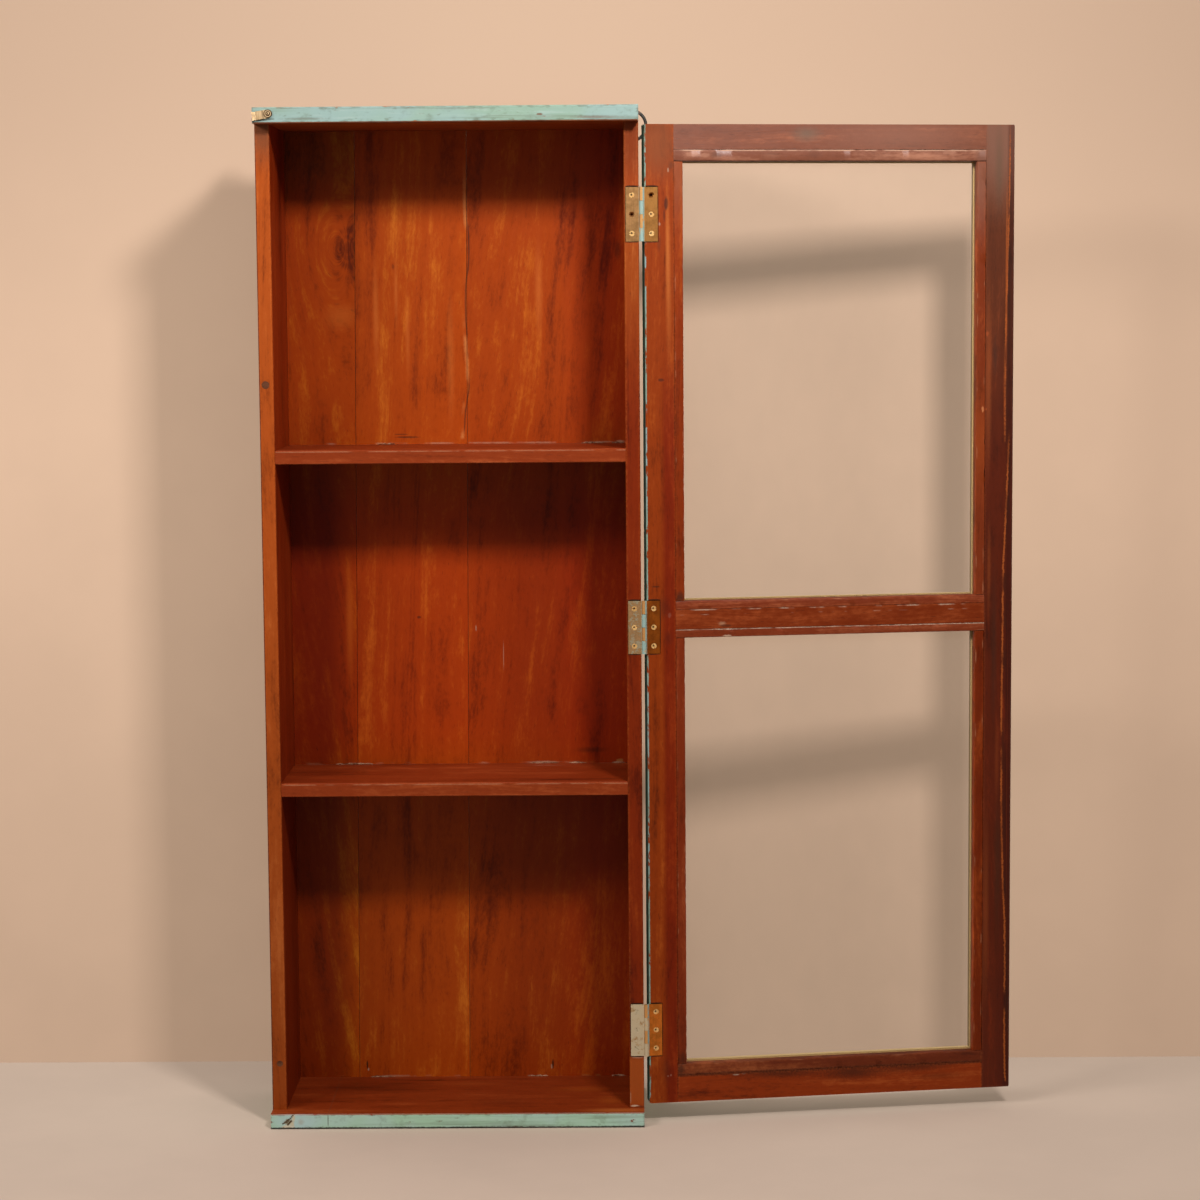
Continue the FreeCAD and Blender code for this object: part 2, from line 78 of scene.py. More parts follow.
class Field:
    """A number that varies over a surface, held as a socket of a material's node tree."""

    def __init__(self, graph: "Graph", socket: Socket) -> None:
        """Keep the socket and the graph that it belongs to."""
        self.graph = graph
        self.socket = socket

    def __add__(self, other: "Field | float") -> "Field":
        """Sum."""
        return self.graph.math("ADD", self, other)

    def __radd__(self, other: float) -> "Field":
        """Sum with a plain number first."""
        return self.graph.math("ADD", other, self)

    def __sub__(self, other: "Field | float") -> "Field":
        """Difference."""
        return self.graph.math("SUBTRACT", self, other)

    def __rsub__(self, other: float) -> "Field":
        """Difference with a plain number first."""
        return self.graph.math("SUBTRACT", other, self)

    def __mul__(self, other: "Field | float") -> "Field":
        """Product."""
        return self.graph.math("MULTIPLY", self, other)

    def __truediv__(self, other: "Field | float") -> "Field":
        """Quotient."""
        return self.graph.math("DIVIDE", self, other)

    def size(self) -> "Field":
        """Absolute value."""
        return self.graph.math("ABSOLUTE", self)

    def power(self, exponent: float) -> "Field":
        """Raised to a power."""
        return self.graph.math("POWER", self, exponent)

    def reach(self, other: "Field") -> "Field":
        """Length of a vector with this part and another."""
        return self.graph.math("SQRT", self * self + other * other)

    def least(self, other: "Field | float") -> "Field":
        """The smaller of two."""
        return self.graph.math("MINIMUM", self, other)

    def most(self, other: "Field | float") -> "Field":
        """The larger of two."""
        return self.graph.math("MAXIMUM", self, other)

    def step(self, low: float, high: float) -> "Field":
        """A smooth step.

        Args:
            low: Value at which the step is 0.
            high: Value at which the step is 1; it may be the smaller one.

        Returns:
            A field from 0 to 1.
        """
        return self.graph.step(self, low, high)


class Graph:
    """One material's node tree, with short ways to add and join nodes."""

    def __init__(self, name: str) -> None:
        """Start a material with a Principled shader.

        Args:
            name: Name of the material.
        """
        self.material = bpy.data.materials.new(name)
        self.material.use_nodes = True
        self.tree = self.material.node_tree
        self.shader = self.tree.nodes["Principled BSDF"]

    def put(self, socket: Socket, value: "Field | Socket | float | RGB") -> None:
        """Join a value to a socket, or set it there if it is a plain number or colour."""
        if isinstance(value, Field):
            value = value.socket
        if isinstance(value, bpy.types.NodeSocket):
            self.tree.links.new(value, socket)
        elif isinstance(value, tuple) and socket.type == "RGBA":
            socket.default_value = (*value, 1.0)
        else:
            socket.default_value = value

    def node(self, kind: str, inputs: dict[int | str, "Field | Socket | float | RGB"],
             **settings: str | bool) -> bpy.types.Node:
        """Add a node to the tree.

        Args:
            kind: Blender's name of the node, without the word for shader nodes.
            inputs: What goes into its sockets, by their number or name.
            settings: Its other settings.

        Returns:
            The node.
        """
        node = self.tree.nodes.new("ShaderNode" + kind)
        for name, setting in settings.items():
            setattr(node, name, setting)
        for key, value in inputs.items():
            self.put(node.inputs[key], value)
        return node

    def math(self, operation: str, *values: "Field | float") -> Field:
        """A Math node.

        Args:
            operation: Blender's name of the operation.
            values: The inputs in order.

        Returns:
            The result as a field.
        """
        node = self.node("Math", dict(enumerate(values)), operation=operation)
        return Field(self, node.outputs[0])

    def step(self, value: Field, low: float, high: float) -> Field:
        """A smooth step of a field from 0 at low to 1 at high."""
        ends = (low, high, 0.0, 1.0) if low < high else (high, low, 1.0, 0.0)
        node = self.node("MapRange", dict(enumerate((value, *ends))), interpolation_type="SMOOTHSTEP")
        return Field(self, node.outputs[0])

    def noise(self, x: Field, y: Field, z: Field, detail: float = 2.0, rough: float = 0.5) -> Field:
        """Noise on coordinates that are already scaled.

        Args:
            x: First coordinate, in units of the noise's features.
            y: Second coordinate.
            z: Third coordinate.
            detail: How many finer layers are added.
            rough: How strong the finer layers are.

        Returns:
            A field from 0 to 1 about 0.5.
        """
        place = self.node("CombineXYZ", {0: x, 1: y, 2: z}).outputs[0]
        node = self.node("TexNoise", {"Vector": place, "Scale": 1.0, "Detail": detail, "Roughness": rough})
        return Field(self, node.outputs["Fac"])

    def mix(self, amount: Field, under: "Socket | RGB", over: "Socket | RGB", blend: str = "MIX") -> Socket:
        """One colour laid over another.

        Args:
            amount: How much of the upper colour shows, 0 to 1.
            under: The lower colour.
            over: The upper colour.
            blend: Blender's name of the way they are blended.

        Returns:
            The colour's socket.
        """
        inputs = {0: amount, 6: under, 7: over}
        return self.node("Mix", inputs, data_type="RGBA", blend_type=blend, clamp_factor=True).outputs[2]

    def ramp(self, value: Field, stops: tuple[tuple[float, RGB], ...]) -> Socket:
        """A colour ramp.

        Args:
            value: Where on the ramp each point lies.
            stops: Positions and colours, in order.

        Returns:
            The colour's socket.
        """
        node = self.node("ValToRGB", {0: value})
        node.color_ramp.interpolation = "EASE"
        elements = node.color_ramp.elements
        while len(elements) < len(stops):
            elements.new(0.5)
        for element, (position, colour) in zip(elements, stops):
            element.position = position
            element.color = (*colour, 1.0)
        return node.outputs[0]

    def curve(self, value: Field, low: float, high: float, points: tuple[Pair, ...]) -> Field:
        """A curve of a field, drawn through given points.

        Args:
            value: The input.
            low: Input at the curve's start.
            high: Input at the curve's end.
            points: Points of the curve, both coordinates from 0 to 1.

        Returns:
            The curve's height, 0 to 1.
        """
        node = self.node("FloatCurve", {"Value": (value - low) / (high - low)})
        line = node.mapping.curves[0]
        while len(line.points) < len(points):
            line.points.new(0.5, 0.5)
        for point, place in zip(line.points, points):
            point.location = place
        node.mapping.update()
        return Field(self, node.outputs[0])

    def close(self, surface: "Surface", bump: float = 0.3, gloss: float = 0.5) -> bpy.types.Material:
        """Join a finished surface to the shader.

        Args:
            surface: Colour, roughness and height of the surface.
            bump: Strength of the relief.
            gloss: Level of the shader's reflection.

        Returns:
            The material.
        """
        self.put(self.shader.inputs["Base Color"], surface.colour)
        self.put(self.shader.inputs["Roughness"], surface.rough)
        self.shader.inputs["Specular IOR Level"].default_value = gloss
        relief = self.node("Bump", {"Strength": bump, "Distance": MILLIMETRE, "Height": surface.height})
        self.put(self.shader.inputs["Normal"], relief.outputs[0])
        return self.material


@dataclass
class Surface:
    """What a finish gives to the shader: colour, roughness and height in millimetres."""

    colour: Socket
    rough: Field
    height: Field


@dataclass
class Run:
    """A point of a board by the way its fibres run."""

    across: Field
    depth: Field
    along: Field

    def noise(self, scale: float, along: float, shift: float, detail: float, rough: float = 0.5,
              bent: Field | None = None) -> Field:
        """Noise drawn out along the fibres.

        Args:
            scale: How many features lie in a metre across the fibres.
            along: How many lie in a metre along them.
            shift: Moves the noise along the fibres, so that no two boards are alike.
            detail: How many finer layers are added.
            rough: How strong the finer layers are.
            bent: Place across the fibres where they don't run straight.

        Returns:
            A field from 0 to 1 about 0.5.
        """
        across = bent or self.across
        return across.graph.noise(across * scale, self.depth * scale, self.along * along + shift, detail, rough)


class Place:
    """Where a point lies and which way it faces, in the frame of the shut cabinet."""

    def __init__(self, graph: Graph, on_door: bool = False) -> None:
        """Read the object's coordinates.

        Args:
            graph: The material's graph.
            on_door: True for a piece of the door, which stands open, so that its pattern lies on the shut door.
        """
        self.graph = graph
        source = graph.node("TexCoord", {})
        where, facing = source.outputs["Object"], source.outputs["Normal"]
        if on_door:
            back = Matrix.Rotation(-DOOR_SWING, 3, "Z")
            pin = Vector((*DOOR_PIN, 0.0))
            where = self.turned(where, "POINT", pin - back @ pin)
            facing = self.turned(facing, "VECTOR", Vector((0.0, 0.0, 0.0)))
        self.x, self.y, self.z = self.parts(where)
        self.nx, self.ny, self.nz = self.parts(facing)
        self._ragged: Field | None = None

    def turned(self, socket: Socket, kind: str, shift: Vector) -> Socket:
        """Swing a vector from the open door back to the shut one.

        Args:
            socket: The vector.
            kind: POINT for a place, VECTOR for a direction.
            shift: Added to a place after the turn.

        Returns:
            The turned vector's socket.
        """
        node = self.graph.node("Mapping", {"Vector": socket, "Rotation": (0.0, 0.0, -DOOR_SWING)}, vector_type=kind)
        if kind == "POINT":
            node.inputs["Location"].default_value = shift
        return node.outputs[0]

    def parts(self, socket: Socket) -> list[Field]:
        """The three parts of a vector as fields."""
        return [Field(self.graph, out) for out in self.graph.node("SeparateXYZ", {0: socket}).outputs]

    def noise(self, scale: float, detail: float, rough: float = 0.5, up: float | None = None,
              shift: float = 0.0) -> Field:
        """Noise through space.

        Args:
            scale: How many features lie in a metre.
            detail: How many finer layers are added.
            rough: How strong the finer layers are.
            up: How many features lie in a metre of height, where it isn't the same.
            shift: Moves the noise upward, so that no two pieces are alike.

        Returns:
            A field from 0 to 1 about 0.5.
        """
        height = self.z * (up or scale)
        return self.graph.noise(self.x * scale, self.y * scale, height + shift if shift else height, detail, rough)

    @property
    def ragged(self) -> Field:
        """Fine noise that breaks up the outline of marks, made once for a material."""
        if self._ragged is None:
            self._ragged = self.noise(420.0, 3.0, 0.6) - 0.5
        return self._ragged

    def axis(self, letter: str) -> Field:
        """The coordinate named x, y or z."""
        return {"x": self.x, "y": self.y, "z": self.z}[letter]

    def normal(self, letter: str) -> Field:
        """The part of the facing direction along x, y or z."""
        return {"x": self.nx, "y": self.ny, "z": self.nz}[letter]

    def run(self, grain: Grain) -> Run:
        """The point as across, through and along the fibres."""
        if grain is Grain.ALONG_X:
            return Run(self.z, self.y, self.x)
        return Run(self.x, self.y, self.z)

    def edge(self, low: Triple, high: Triple) -> Field:
        """Distance to the nearest edge of a box.

        Args:
            low: The box's lowest corner.
            high: Its highest corner.

        Returns:
            The distance in metres on the box's faces.
        """
        near = [(a + b) * 0.5 for a, b in zip(low, high)]
        half = [(b - a) * 0.5 for a, b in zip(low, high)]
        dx, dy, dz = (h - (v - m).size() for v, m, h in zip((self.x, self.y, self.z), near, half))
        return (dx + dy).least(dy + dz).least(dx + dz)


@dataclass(frozen=True)
class Knot:
    """A knot that the grain sweeps round: place across and along the grain, radius, spread, squeeze and ring width."""

    across: float
    along: float
    radius: float
    spread: float = 0.038
    squeeze: float = 0.62
    ring: float = 0.011

    def flow(self, graph: Graph, run: Run, across: Field, seed: float) -> tuple[Field, Field]:
        """Lead the grain round the knot as water flows round a stone.

        Args:
            graph: The material's graph.
            run: The point by the way the fibres run.
            across: Place across the grain before the bend.
            seed: Shift of the noise that makes the sweep uneven.

        Returns:
            The place across the bent grain, and how much darker the wood is about the knot.
        """
        drift = run.noise(24.0, 15.0, seed, 2.0) - 0.5
        du = run.across - self.across + drift * 0.010
        dw = (run.along - self.along) * self.squeeze
        square = du * du + dw * dw
        bent = across - du * (self.spread ** 2) / (square + 0.06 * self.spread ** 2)
        reach = graph.math("SQRT", square) + drift * 0.006
        wave = graph.math("SINE", reach * (2.0 * math.pi / self.ring) + drift * 4.0)
        rings = wave * reach.step(0.050, 0.012) * 0.06
        rim = (reach - self.radius).size().step(0.0026, 0.0006) * 0.12
        return bent, rim + rings + reach.step(self.radius * 6.0, 0.0) * 0.16


@dataclass(frozen=True)
class Teak:
    """Old polished teak: broad bands, rings, streaks, fibres and pores along the grain."""

    dark: RGB
    mid: RGB
    light: RGB
    grain: Grain
    seed: float
    contrast: float = 1.0
    rings: float = 0.07
    lean: float = 0.0
    wander: float = 0.075
    rough: float = 0.42
    gloss: float = 0.12
    lines: float = 1.0
    knots: tuple[Knot, ...] = ()

    def lay(self, graph: Graph, place: Place) -> Surface:
        """Lay the wood.

        Args:
            graph: The material's graph.
            place: Where each point lies.

        Returns:
            The wood's surface.
        """
        run = place.run(self.grain)
        sway = run.noise(7.0, 1.3, self.seed, 1.0) - 0.5
        bend = run.noise(16.0, 4.5, self.seed + 5.0, 1.0) - 0.5
        across = run.across + sway * self.wander + bend * 0.022 + run.along * self.lean
        cores: list[Field] = []
        for knot in self.knots:
            across, core = knot.flow(graph, run, across, self.seed)
            cores.append(core)

        def fibre(width: float, length: float, shift: float, detail: float, rough: float = 0.5) -> Field:
            """Noise drawn out along the fibres, about width by length metres, from -0.5 to 0.5."""
            return run.noise(1.0 / width, 1.0 / length, self.seed + shift, detail, rough, across) - 0.5

        broad = fibre(0.034, 0.70, 0.0, 2.0)
        band = fibre(0.015, 0.32, 11.0, 2.0, 0.55)
        flame = fibre(0.055, 0.60, 17.0, 1.0)
        ring = graph.math("PINGPONG", flame * 11.0 + 20.0, 0.5) * 2.0 - 0.5
        streak = fibre(0.0065, 0.20, 31.0, 3.0, 0.6)
        fine = fibre(0.0016, 0.09, 47.0, 2.0)
        pore = fibre(0.0007, 0.009, 59.0, 1.0).step(0.16, 0.28)
        tone = run.noise(14.0, 6.0, self.seed, 3.0) - 0.5
        mottle = run.noise(330.0, 120.0, self.seed, 4.0, 0.7, across) - 0.5
        cloud = run.noise(75.0, 26.0, self.seed + 3.0, 3.0, 0.6) - 0.5
        value = broad * 0.62 + band * 0.42 + (streak * 0.28 + fine * 0.26) * self.lines + ring * self.rings
        value = value + tone * 0.55 + mottle * 0.45 + cloud * 0.42
        value = value * self.contrast + 0.5
        for core in cores:
            value = value - core
        colour = graph.ramp(value, ((0.12, self.dark), (0.5, self.mid), (0.88, self.light)))
        colour = graph.mix(pore * 0.42, colour, tuple(c * 0.35 for c in self.dark))
        rough = self.rough + streak * 0.12 + tone * 0.10 + pore * 0.15 + mottle * 0.25
        height = fine * 0.12 + streak * 0.12 - pore * 0.12 + mottle * 0.10
        return Surface(colour, rough, height)


@dataclass(frozen=True)
class RawWood:
    """Unfinished weathered wood on faces that were never polished."""

    dark: RGB
    light: RGB
    grain: Grain
    seed: float

    def over(self, graph: Graph, place: Place, under: Surface, mask: Field, edge: Field) -> Surface:
        """Lay raw wood where the mask is 1.

        Args:
            graph: The material's graph.
            place: Where each point lies.
            under: The surface below.
            mask: Where the raw wood shows.
            edge: Distance to the nearest edge, along which dirt gathers.

        Returns:
            The joined surface.
        """
        run = place.run(self.grain)
        band = run.noise(60.0, 2.2, self.seed, 4.0, 0.65)
        fine = run.noise(700.0, 16.0, self.seed, 2.0)
        cloud = run.noise(9.0, 4.0, self.seed, 3.0, 0.6)
        raw = graph.ramp(band * 0.60 + fine * 0.30 + cloud * 0.25, ((0.38, self.dark), (0.78, self.light)))
        raw = graph.mix(edge.step(0.0030, 0.0004) * 0.7, raw, tuple(c * 0.3 for c in self.dark))
        colour = graph.mix(mask, under.colour, raw)
        return Surface(colour, under.rough + mask * 0.35, under.height + (fine - 0.5) * mask * 0.4)


@dataclass(frozen=True)
class WornPaint:
    """Brushed old paint in sea green and pale blue, chipped along the edges."""

    main: RGB
    cool: RGB
    pale: RGB
    soil: RGB
    grain: Grain
    seed: float
    wear: float = 0.5
    edge_reach: float = 0.004

    def over(self, graph: Graph, place: Place, under: Surface, faces: Field, edge: Field) -> Surface:
        """Brush the paint over wood.

        Args:
            graph: The material's graph.
            place: Where each point lies.
            under: The bare wood.
            faces: Where the paint lies, 0 to 1.
            edge: Distance to the nearest edge.

        Returns:
            The painted surface.
        """
        run = place.run(self.grain)
        patch = run.noise(16.0, 9.0, self.seed, 3.0, 0.55)
        brush = run.noise(520.0, 14.0, self.seed, 2.0)
        rub = run.noise(130.0, 5.0, self.seed + 9.0, 4.0, 0.6)
        blot = place.noise(70.0, 4.0, 0.6, shift=self.seed)
        chip = run.noise(190.0, 75.0, self.seed, 4.0, 0.62)
        colour = graph.mix(patch.step(0.40, 0.62), self.main, self.cool)
        colour = graph.mix(((brush - 0.5) * 1.2 + (blot - 0.5) * 0.9).step(0.0, 0.6) * 0.7, colour, self.pale)
        colour = graph.mix(blot.step(0.46, 0.26) * 0.35, colour, self.soil)
        colour = graph.mix(rub.step(0.52, 0.72) * 0.45, colour, self.soil)
        near = edge.step(self.edge_reach, 0.0)
        flaked = chip + near * 0.16 * self.wear + (blot - 0.5) * 0.22 + (patch - 0.5) * 0.20 * self.wear
        keep = faces * (1.0 - flaked.step(0.70, 0.73))
        grimy = faces * (chip + near * 0.16).step(0.58, 0.72) * 0.45
        colour = graph.mix(grimy, colour, self.soil)
        joined = graph.mix(keep, under.colour, colour)
        rough = under.rough + keep * ((brush - 0.5) * 0.2 + 0.17)
        height = under.height * (1.0 - keep) + keep * (brush * 0.12 + 0.25)
        return Surface(joined, rough, height)


@dataclass(frozen=True)
class Spot:
    """A stain, streak, dent or speck with a ragged outline and a hard or soft edge, on one face if it names one."""

    at: Pair
    size: Pair
    colour: RGB
    strength: float = 0.8
    ragged: float = 0.7
    soft: float = 0.55
    axes: str = "xz"
    face: Face | None = None

    def over(self, graph: Graph, place: Place, under: Surface) -> Surface:
        """Lay the spot over a surface."""
        parts = [(place.axis(a) - c) * (1.0 / s) for a, c, s in zip(self.axes, self.at, self.size)]
        mask = (parts[0].reach(parts[1]) + place.ragged * self.ragged).step(1.15, self.soft) * self.strength
        if self.face is not None:
            mask = mask * (place.normal(self.face[0]) * self.face[1]).step(0.4, 0.8)
        colour = graph.mix(mask, under.colour, self.colour)
        return Surface(colour, under.rough + mask * 0.1, under.height - mask * 0.15)


@dataclass(frozen=True)
class Seam:
    """A wavy line up a board, such as a joint or a rubbed streak, with a broken band on its left.

    Fields give points of the line as height and X, from the bottom up, the colours of the line and the band, the
    line's half width, how strongly the two show, where a noise breaks the line, how ragged it is, and how far to the
    left the band's middle lies and its half width.
    """

    points: tuple[Pair, ...]
    gap: RGB
    pale: RGB
    width: float = 0.0009
    shown: Pair = (0.62, 0.55)
    broken: Pair = (0.42, 0.56)
    ragged: float = 1.0
    band: Pair = (0.0024, 0.0030)

    def over(self, graph: Graph, place: Place, under: Surface) -> Surface:
        """Lay the line over a surface."""
        low, high = self.points[0][0], self.points[-1][0]
        left, right = min(x for _, x in self.points), max(x for _, x in self.points)
        drawn = tuple(((z - low) / (high - low), (x - left) / (right - left)) for z, x in self.points)
        away = place.x - (graph.curve(place.z, low, high, drawn) * (right - left) + left)
        inside = place.z.step(low - 0.002, low + 0.002) * place.z.step(high + 0.03, high - 0.02)
        patchy = place.noise(30.0, 2.0, up=26.0)
        line = (away.size() * (1.0 / self.width) + place.ragged * self.ragged).step(1.5, 0.4)
        line = line * patchy.step(*self.broken) * inside
        beside, half = self.band
        band = ((away + beside) * (1.0 / half) + place.ragged).size().step(1.2, 0.0) * patchy.step(0.58, 0.42) * inside
        colour = graph.mix(band * self.shown[1], under.colour, self.pale)
        colour = graph.mix(line * self.shown[0], colour, self.gap)
        return Surface(colour, under.rough + line * 0.2, under.height - line * 0.3)


@dataclass(frozen=True)
class JointLine:
    """Dirt or pale filler caught along a joint."""

    axis: str
    at: float
    width: float
    colour: RGB
    strength: float = 0.6
    broken: float = 0.5

    def over(self, graph: Graph, place: Place, under: Surface) -> Surface:
        """Lay the line over a surface."""
        away = (place.axis(self.axis) - self.at).size() * (1.0 / self.width) + place.ragged * 1.2
        gaps = place.noise(45.0, 2.0, shift=self.at * 91.0)
        mask = away.step(1.2, 0.4) * gaps.step(self.broken - 0.08, self.broken + 0.08) * self.strength
        return Surface(graph.mix(mask, under.colour, self.colour), under.rough + mask * 0.2, under.height)


@dataclass(frozen=True)
class Shade:
    """A slow change of tone across a board, multiplied into its colour, in a gate along another axis if it has one."""

    axis: str
    low: float
    high: float
    tint: RGB
    strength: float = 1.0
    gate: tuple[str, float, float] | None = None

    def over(self, graph: Graph, place: Place, under: Surface) -> Surface:
        """Lay the tone over a surface."""
        amount = place.axis(self.axis).step(self.low, self.high) * self.strength
        if self.gate is not None:
            axis, shut, full = self.gate
            amount = amount * place.axis(axis).step(shut, full)
        return replace(under, colour=graph.mix(amount, under.colour, self.tint, "MULTIPLY"))


@dataclass(frozen=True)
class Faced:
    """A tone on the faces of a board that look one way, multiplied into its colour."""

    axis: str
    sign: float
    tint: RGB

    def over(self, graph: Graph, place: Place, under: Surface) -> Surface:
        """Lay the tone over a surface."""
        amount = (place.normal(self.axis) * self.sign).step(0.5, 0.9)
        return replace(under, colour=graph.mix(amount, under.colour, self.tint, "MULTIPLY"))


Mark = Spot | Seam | JointLine | Shade | Faced


def marked(graph: Graph, place: Place, surface: Surface, marks: tuple[Mark, ...]) -> Surface:
    """Lay marks over a surface, one after the other."""
    for mark in marks:
        surface = mark.over(graph, place, surface)
    return surface


def polished(graph: Graph, place: Place, teak: Teak, marks: tuple[Mark, ...], edge: Field, rubbed: float) -> Surface:
    """Polished wood with its marks, worn paler along its edges.

    Args:
        graph: The material's graph.
        place: Where each point lies.
        teak: The wood.
        marks: The marks on it.
        edge: Distance to the nearest edge.
        rubbed: How far in from the edge the wear reaches.

    Returns:
        The surface.
    """
    surface = marked(graph, place, teak.lay(graph, place), marks)
    worn = edge.step(rubbed, 0.0004) * (place.ragged + 0.5).step(0.35, 0.75)
    return replace(surface, colour=graph.mix(worn * 0.35, surface.colour, teak.light))


@dataclass(frozen=True)
class AgedBrass:
    """Yellow brass gone dull, with smears of the cabinet's paint.

    Paint may cling to a hinge's knuckles, or to their right half only, and cover all that lies below a height. A boss
    gives X and Z of a turned head, and the grooves give the radii of the rings turned in it. The last three fields
    give how metallic the brass looks, the colour of rubbed knuckles, which is laid on lighter and less metallic as a
    partly painted highlight, and the radii at which a knuckle ends.
    """

    bright: RGB
    dull: RGB
    paint: RGB
    seed: float
    painted: float = 0.0
    knuckle_paint: float = 0.0
    rough: float = 0.42
    half_painted: bool = False
    covered: float | None = None
    boss: Pair | None = None
    grooves: Triple = (0.0003, 0.0021, 0.0044)
    metal: float = 1.0
    knuckle: RGB = (0.70, 0.36, 0.12)
    knuckle_rim: Pair = (0.0036, 0.0027)

    def material(self, name: str, pin: Pair | None = None, heads: tuple[Pair, ...] = ()) -> bpy.types.Material:
        """Make the brass.

        Args:
            name: Name of the material.
            pin: X and Y of the hinge pin that paint clings to, for a hinge leaf.
            heads: X and Z of the middles of screw heads, where dirt has gathered.

        Returns:
            The material.
        """
        graph = Graph(name)
        place = Place(graph)
        cloud = graph.noise(place.x * 95.0 + self.seed, place.y * 95.0, place.z * 95.0, 4.0, 0.6)
        scratch = place.noise(300.0, 2.0, up=2200.0, shift=self.seed)
        speck = place.noise(900.0, 2.0, shift=self.seed)
        drawn = graph.noise(place.x * 1300.0, place.y * 200.0, place.z * 45.0 + self.seed, 2.0)
        colour = graph.mix(cloud.step(0.36, 0.66), self.bright, self.dull)
        colour = graph.mix(drawn.step(0.50, 0.78) * 0.45, colour, tuple(c * 0.55 for c in self.dull))
        colour = graph.mix(speck.step(0.62, 0.74) * 0.6, colour, tuple(c * 0.25 for c in self.dull))
        for x, z in heads:
            dirt = ((place.x - x).reach(place.z - z) + (speck - 0.5) * 0.0008).step(0.0014, 0.0009)
            colour = graph.mix(dirt * 0.9, colour, (0.06, 0.025, 0.010))
        if self.boss is not None:
            reach = (place.x - self.boss[0]).reach(place.z - self.boss[1]) + (speck - 0.5) * 0.0004
            for radius in self.grooves:
                groove = (reach - radius).size().step(0.0009, 0.0003)
                colour = graph.mix(groove * 0.92, colour, (0.055, 0.025, 0.010))
        smears: list[Field] = []
        if self.covered is not None:
            smears.append((place.z + (speck - 0.5) * 0.003).step(self.covered + 0.001, self.covered) * 0.85)
        if self.painted:
            edge = 0.60 - 0.5 * self.painted
            smear = (cloud + (speck - 0.5) * 0.35).step(edge, edge + 0.08)
            smears.append(smear * min(1.0, self.painted * 3.0))
        rubbed: Field | None = None
        if pin is not None and self.knuckle_paint:
            dx = place.x - pin[0]
            round_pin = dx.reach(place.y - pin[1]).step(*self.knuckle_rim)
            # Rubbed knuckles take a bright gold and lose some of their metal, so that they show light where polished
            # brass would show a highlight: partly painted highlight.
            rubbed = round_pin * (1.0 - speck.step(0.55, 0.70) * 0.5)
            colour = graph.mix(rubbed * 0.8, colour, self.knuckle)
            if self.half_painted:
                round_pin = round_pin * dx.step(0.0009, 0.0014)
            edge = 0.54 - self.knuckle_paint * 0.3
            smears.append(round_pin * (cloud + (speck - 0.5) * 0.5).step(edge, edge + 0.08))
        rough = self.rough + (cloud - 0.5) * 0.25 + (scratch - 0.5) * 0.15
        height = cloud * 0.15 + scratch * 0.05
        if not smears:
            graph.shader.inputs["Metallic"].default_value = self.metal
            return graph.close(Surface(colour, rough, height), 0.25)
        paint = smears[0] if len(smears) == 1 else smears[0].most(smears[1])
        colour = graph.mix(paint, colour, self.paint)
        metal = self.metal - paint * (0.95 * self.metal)
        if rubbed is not None:
            metal = (metal - rubbed * 0.45).most(0.0)
        graph.put(graph.shader.inputs["Metallic"], metal)
        return graph.close(Surface(colour, rough + paint * 0.2, height + paint * 0.1), 0.25)


@dataclass(frozen=True)
class ForgedIron:
    """Dark hand-forged iron with a little rust in its hollows."""

    scale: RGB
    rust: RGB
    rough: float = 0.55

    def material(self, name: str) -> bpy.types.Material:
        """Make the iron."""
        graph = Graph(name)
        place = Place(graph)
        cloud = place.noise(210.0, 4.0, 0.6)
        pit = place.noise(900.0, 3.0, 0.6)
        colour = graph.mix((cloud * 0.7 + pit * 0.3).step(0.50, 0.68), self.scale, self.rust)
        graph.put(graph.shader.inputs["Metallic"], 0.75 - cloud.step(0.48, 0.68) * 0.5)
        return graph.close(Surface(colour, self.rough + (pit - 0.5) * 0.35, cloud * 0.5 + pit * 0.3), 0.5)


@dataclass(frozen=True)
class OldGlass:
    """Thin drawn window glass: clear, faintly wavy and dusty at its edges."""

    tint: RGB
    haze: float = 0.03

    def material(self, name: str, low: Pair, high: Pair) -> bpy.types.Material:
        """Make the glass.

        Args:
            name: Name of the material.
            low: Lowest X and Z of the pane in the shut door.
            high: Highest X and Z.

        Returns:
            The material.
        """
        graph = Graph(name)
        place = Place(graph, on_door=True)
        dust = place.noise(40.0, 4.0, 0.6, up=22.0)
        wave = place.noise(11.0, 1.0, up=5.0)
        dx = (high[0] - low[0]) * 0.5 - (place.x - (low[0] + high[0]) * 0.5).size()
        dz = (high[1] - low[1]) * 0.5 - (place.z - (low[1] + high[1]) * 0.5).size()
        rim = dx.least(dz).step(0.020, 0.006)
        glance = Field(graph, graph.node("LayerWeight", {"Blend": 0.5}).outputs["Facing"])
        alpha = glance.power(5.0) * 0.5 + dust * self.haze + rim * 0.02 + 0.015
        graph.put(graph.shader.inputs["Alpha"], alpha)
        graph.shader.inputs["IOR"].default_value = 1.5
        colour = graph.mix(dust.step(0.4, 0.7), self.tint, tuple(c * 0.82 for c in self.tint))
        return graph.close(Surface(colour, 0.06 + dust * 0.06, wave * 1.5), 0.08)
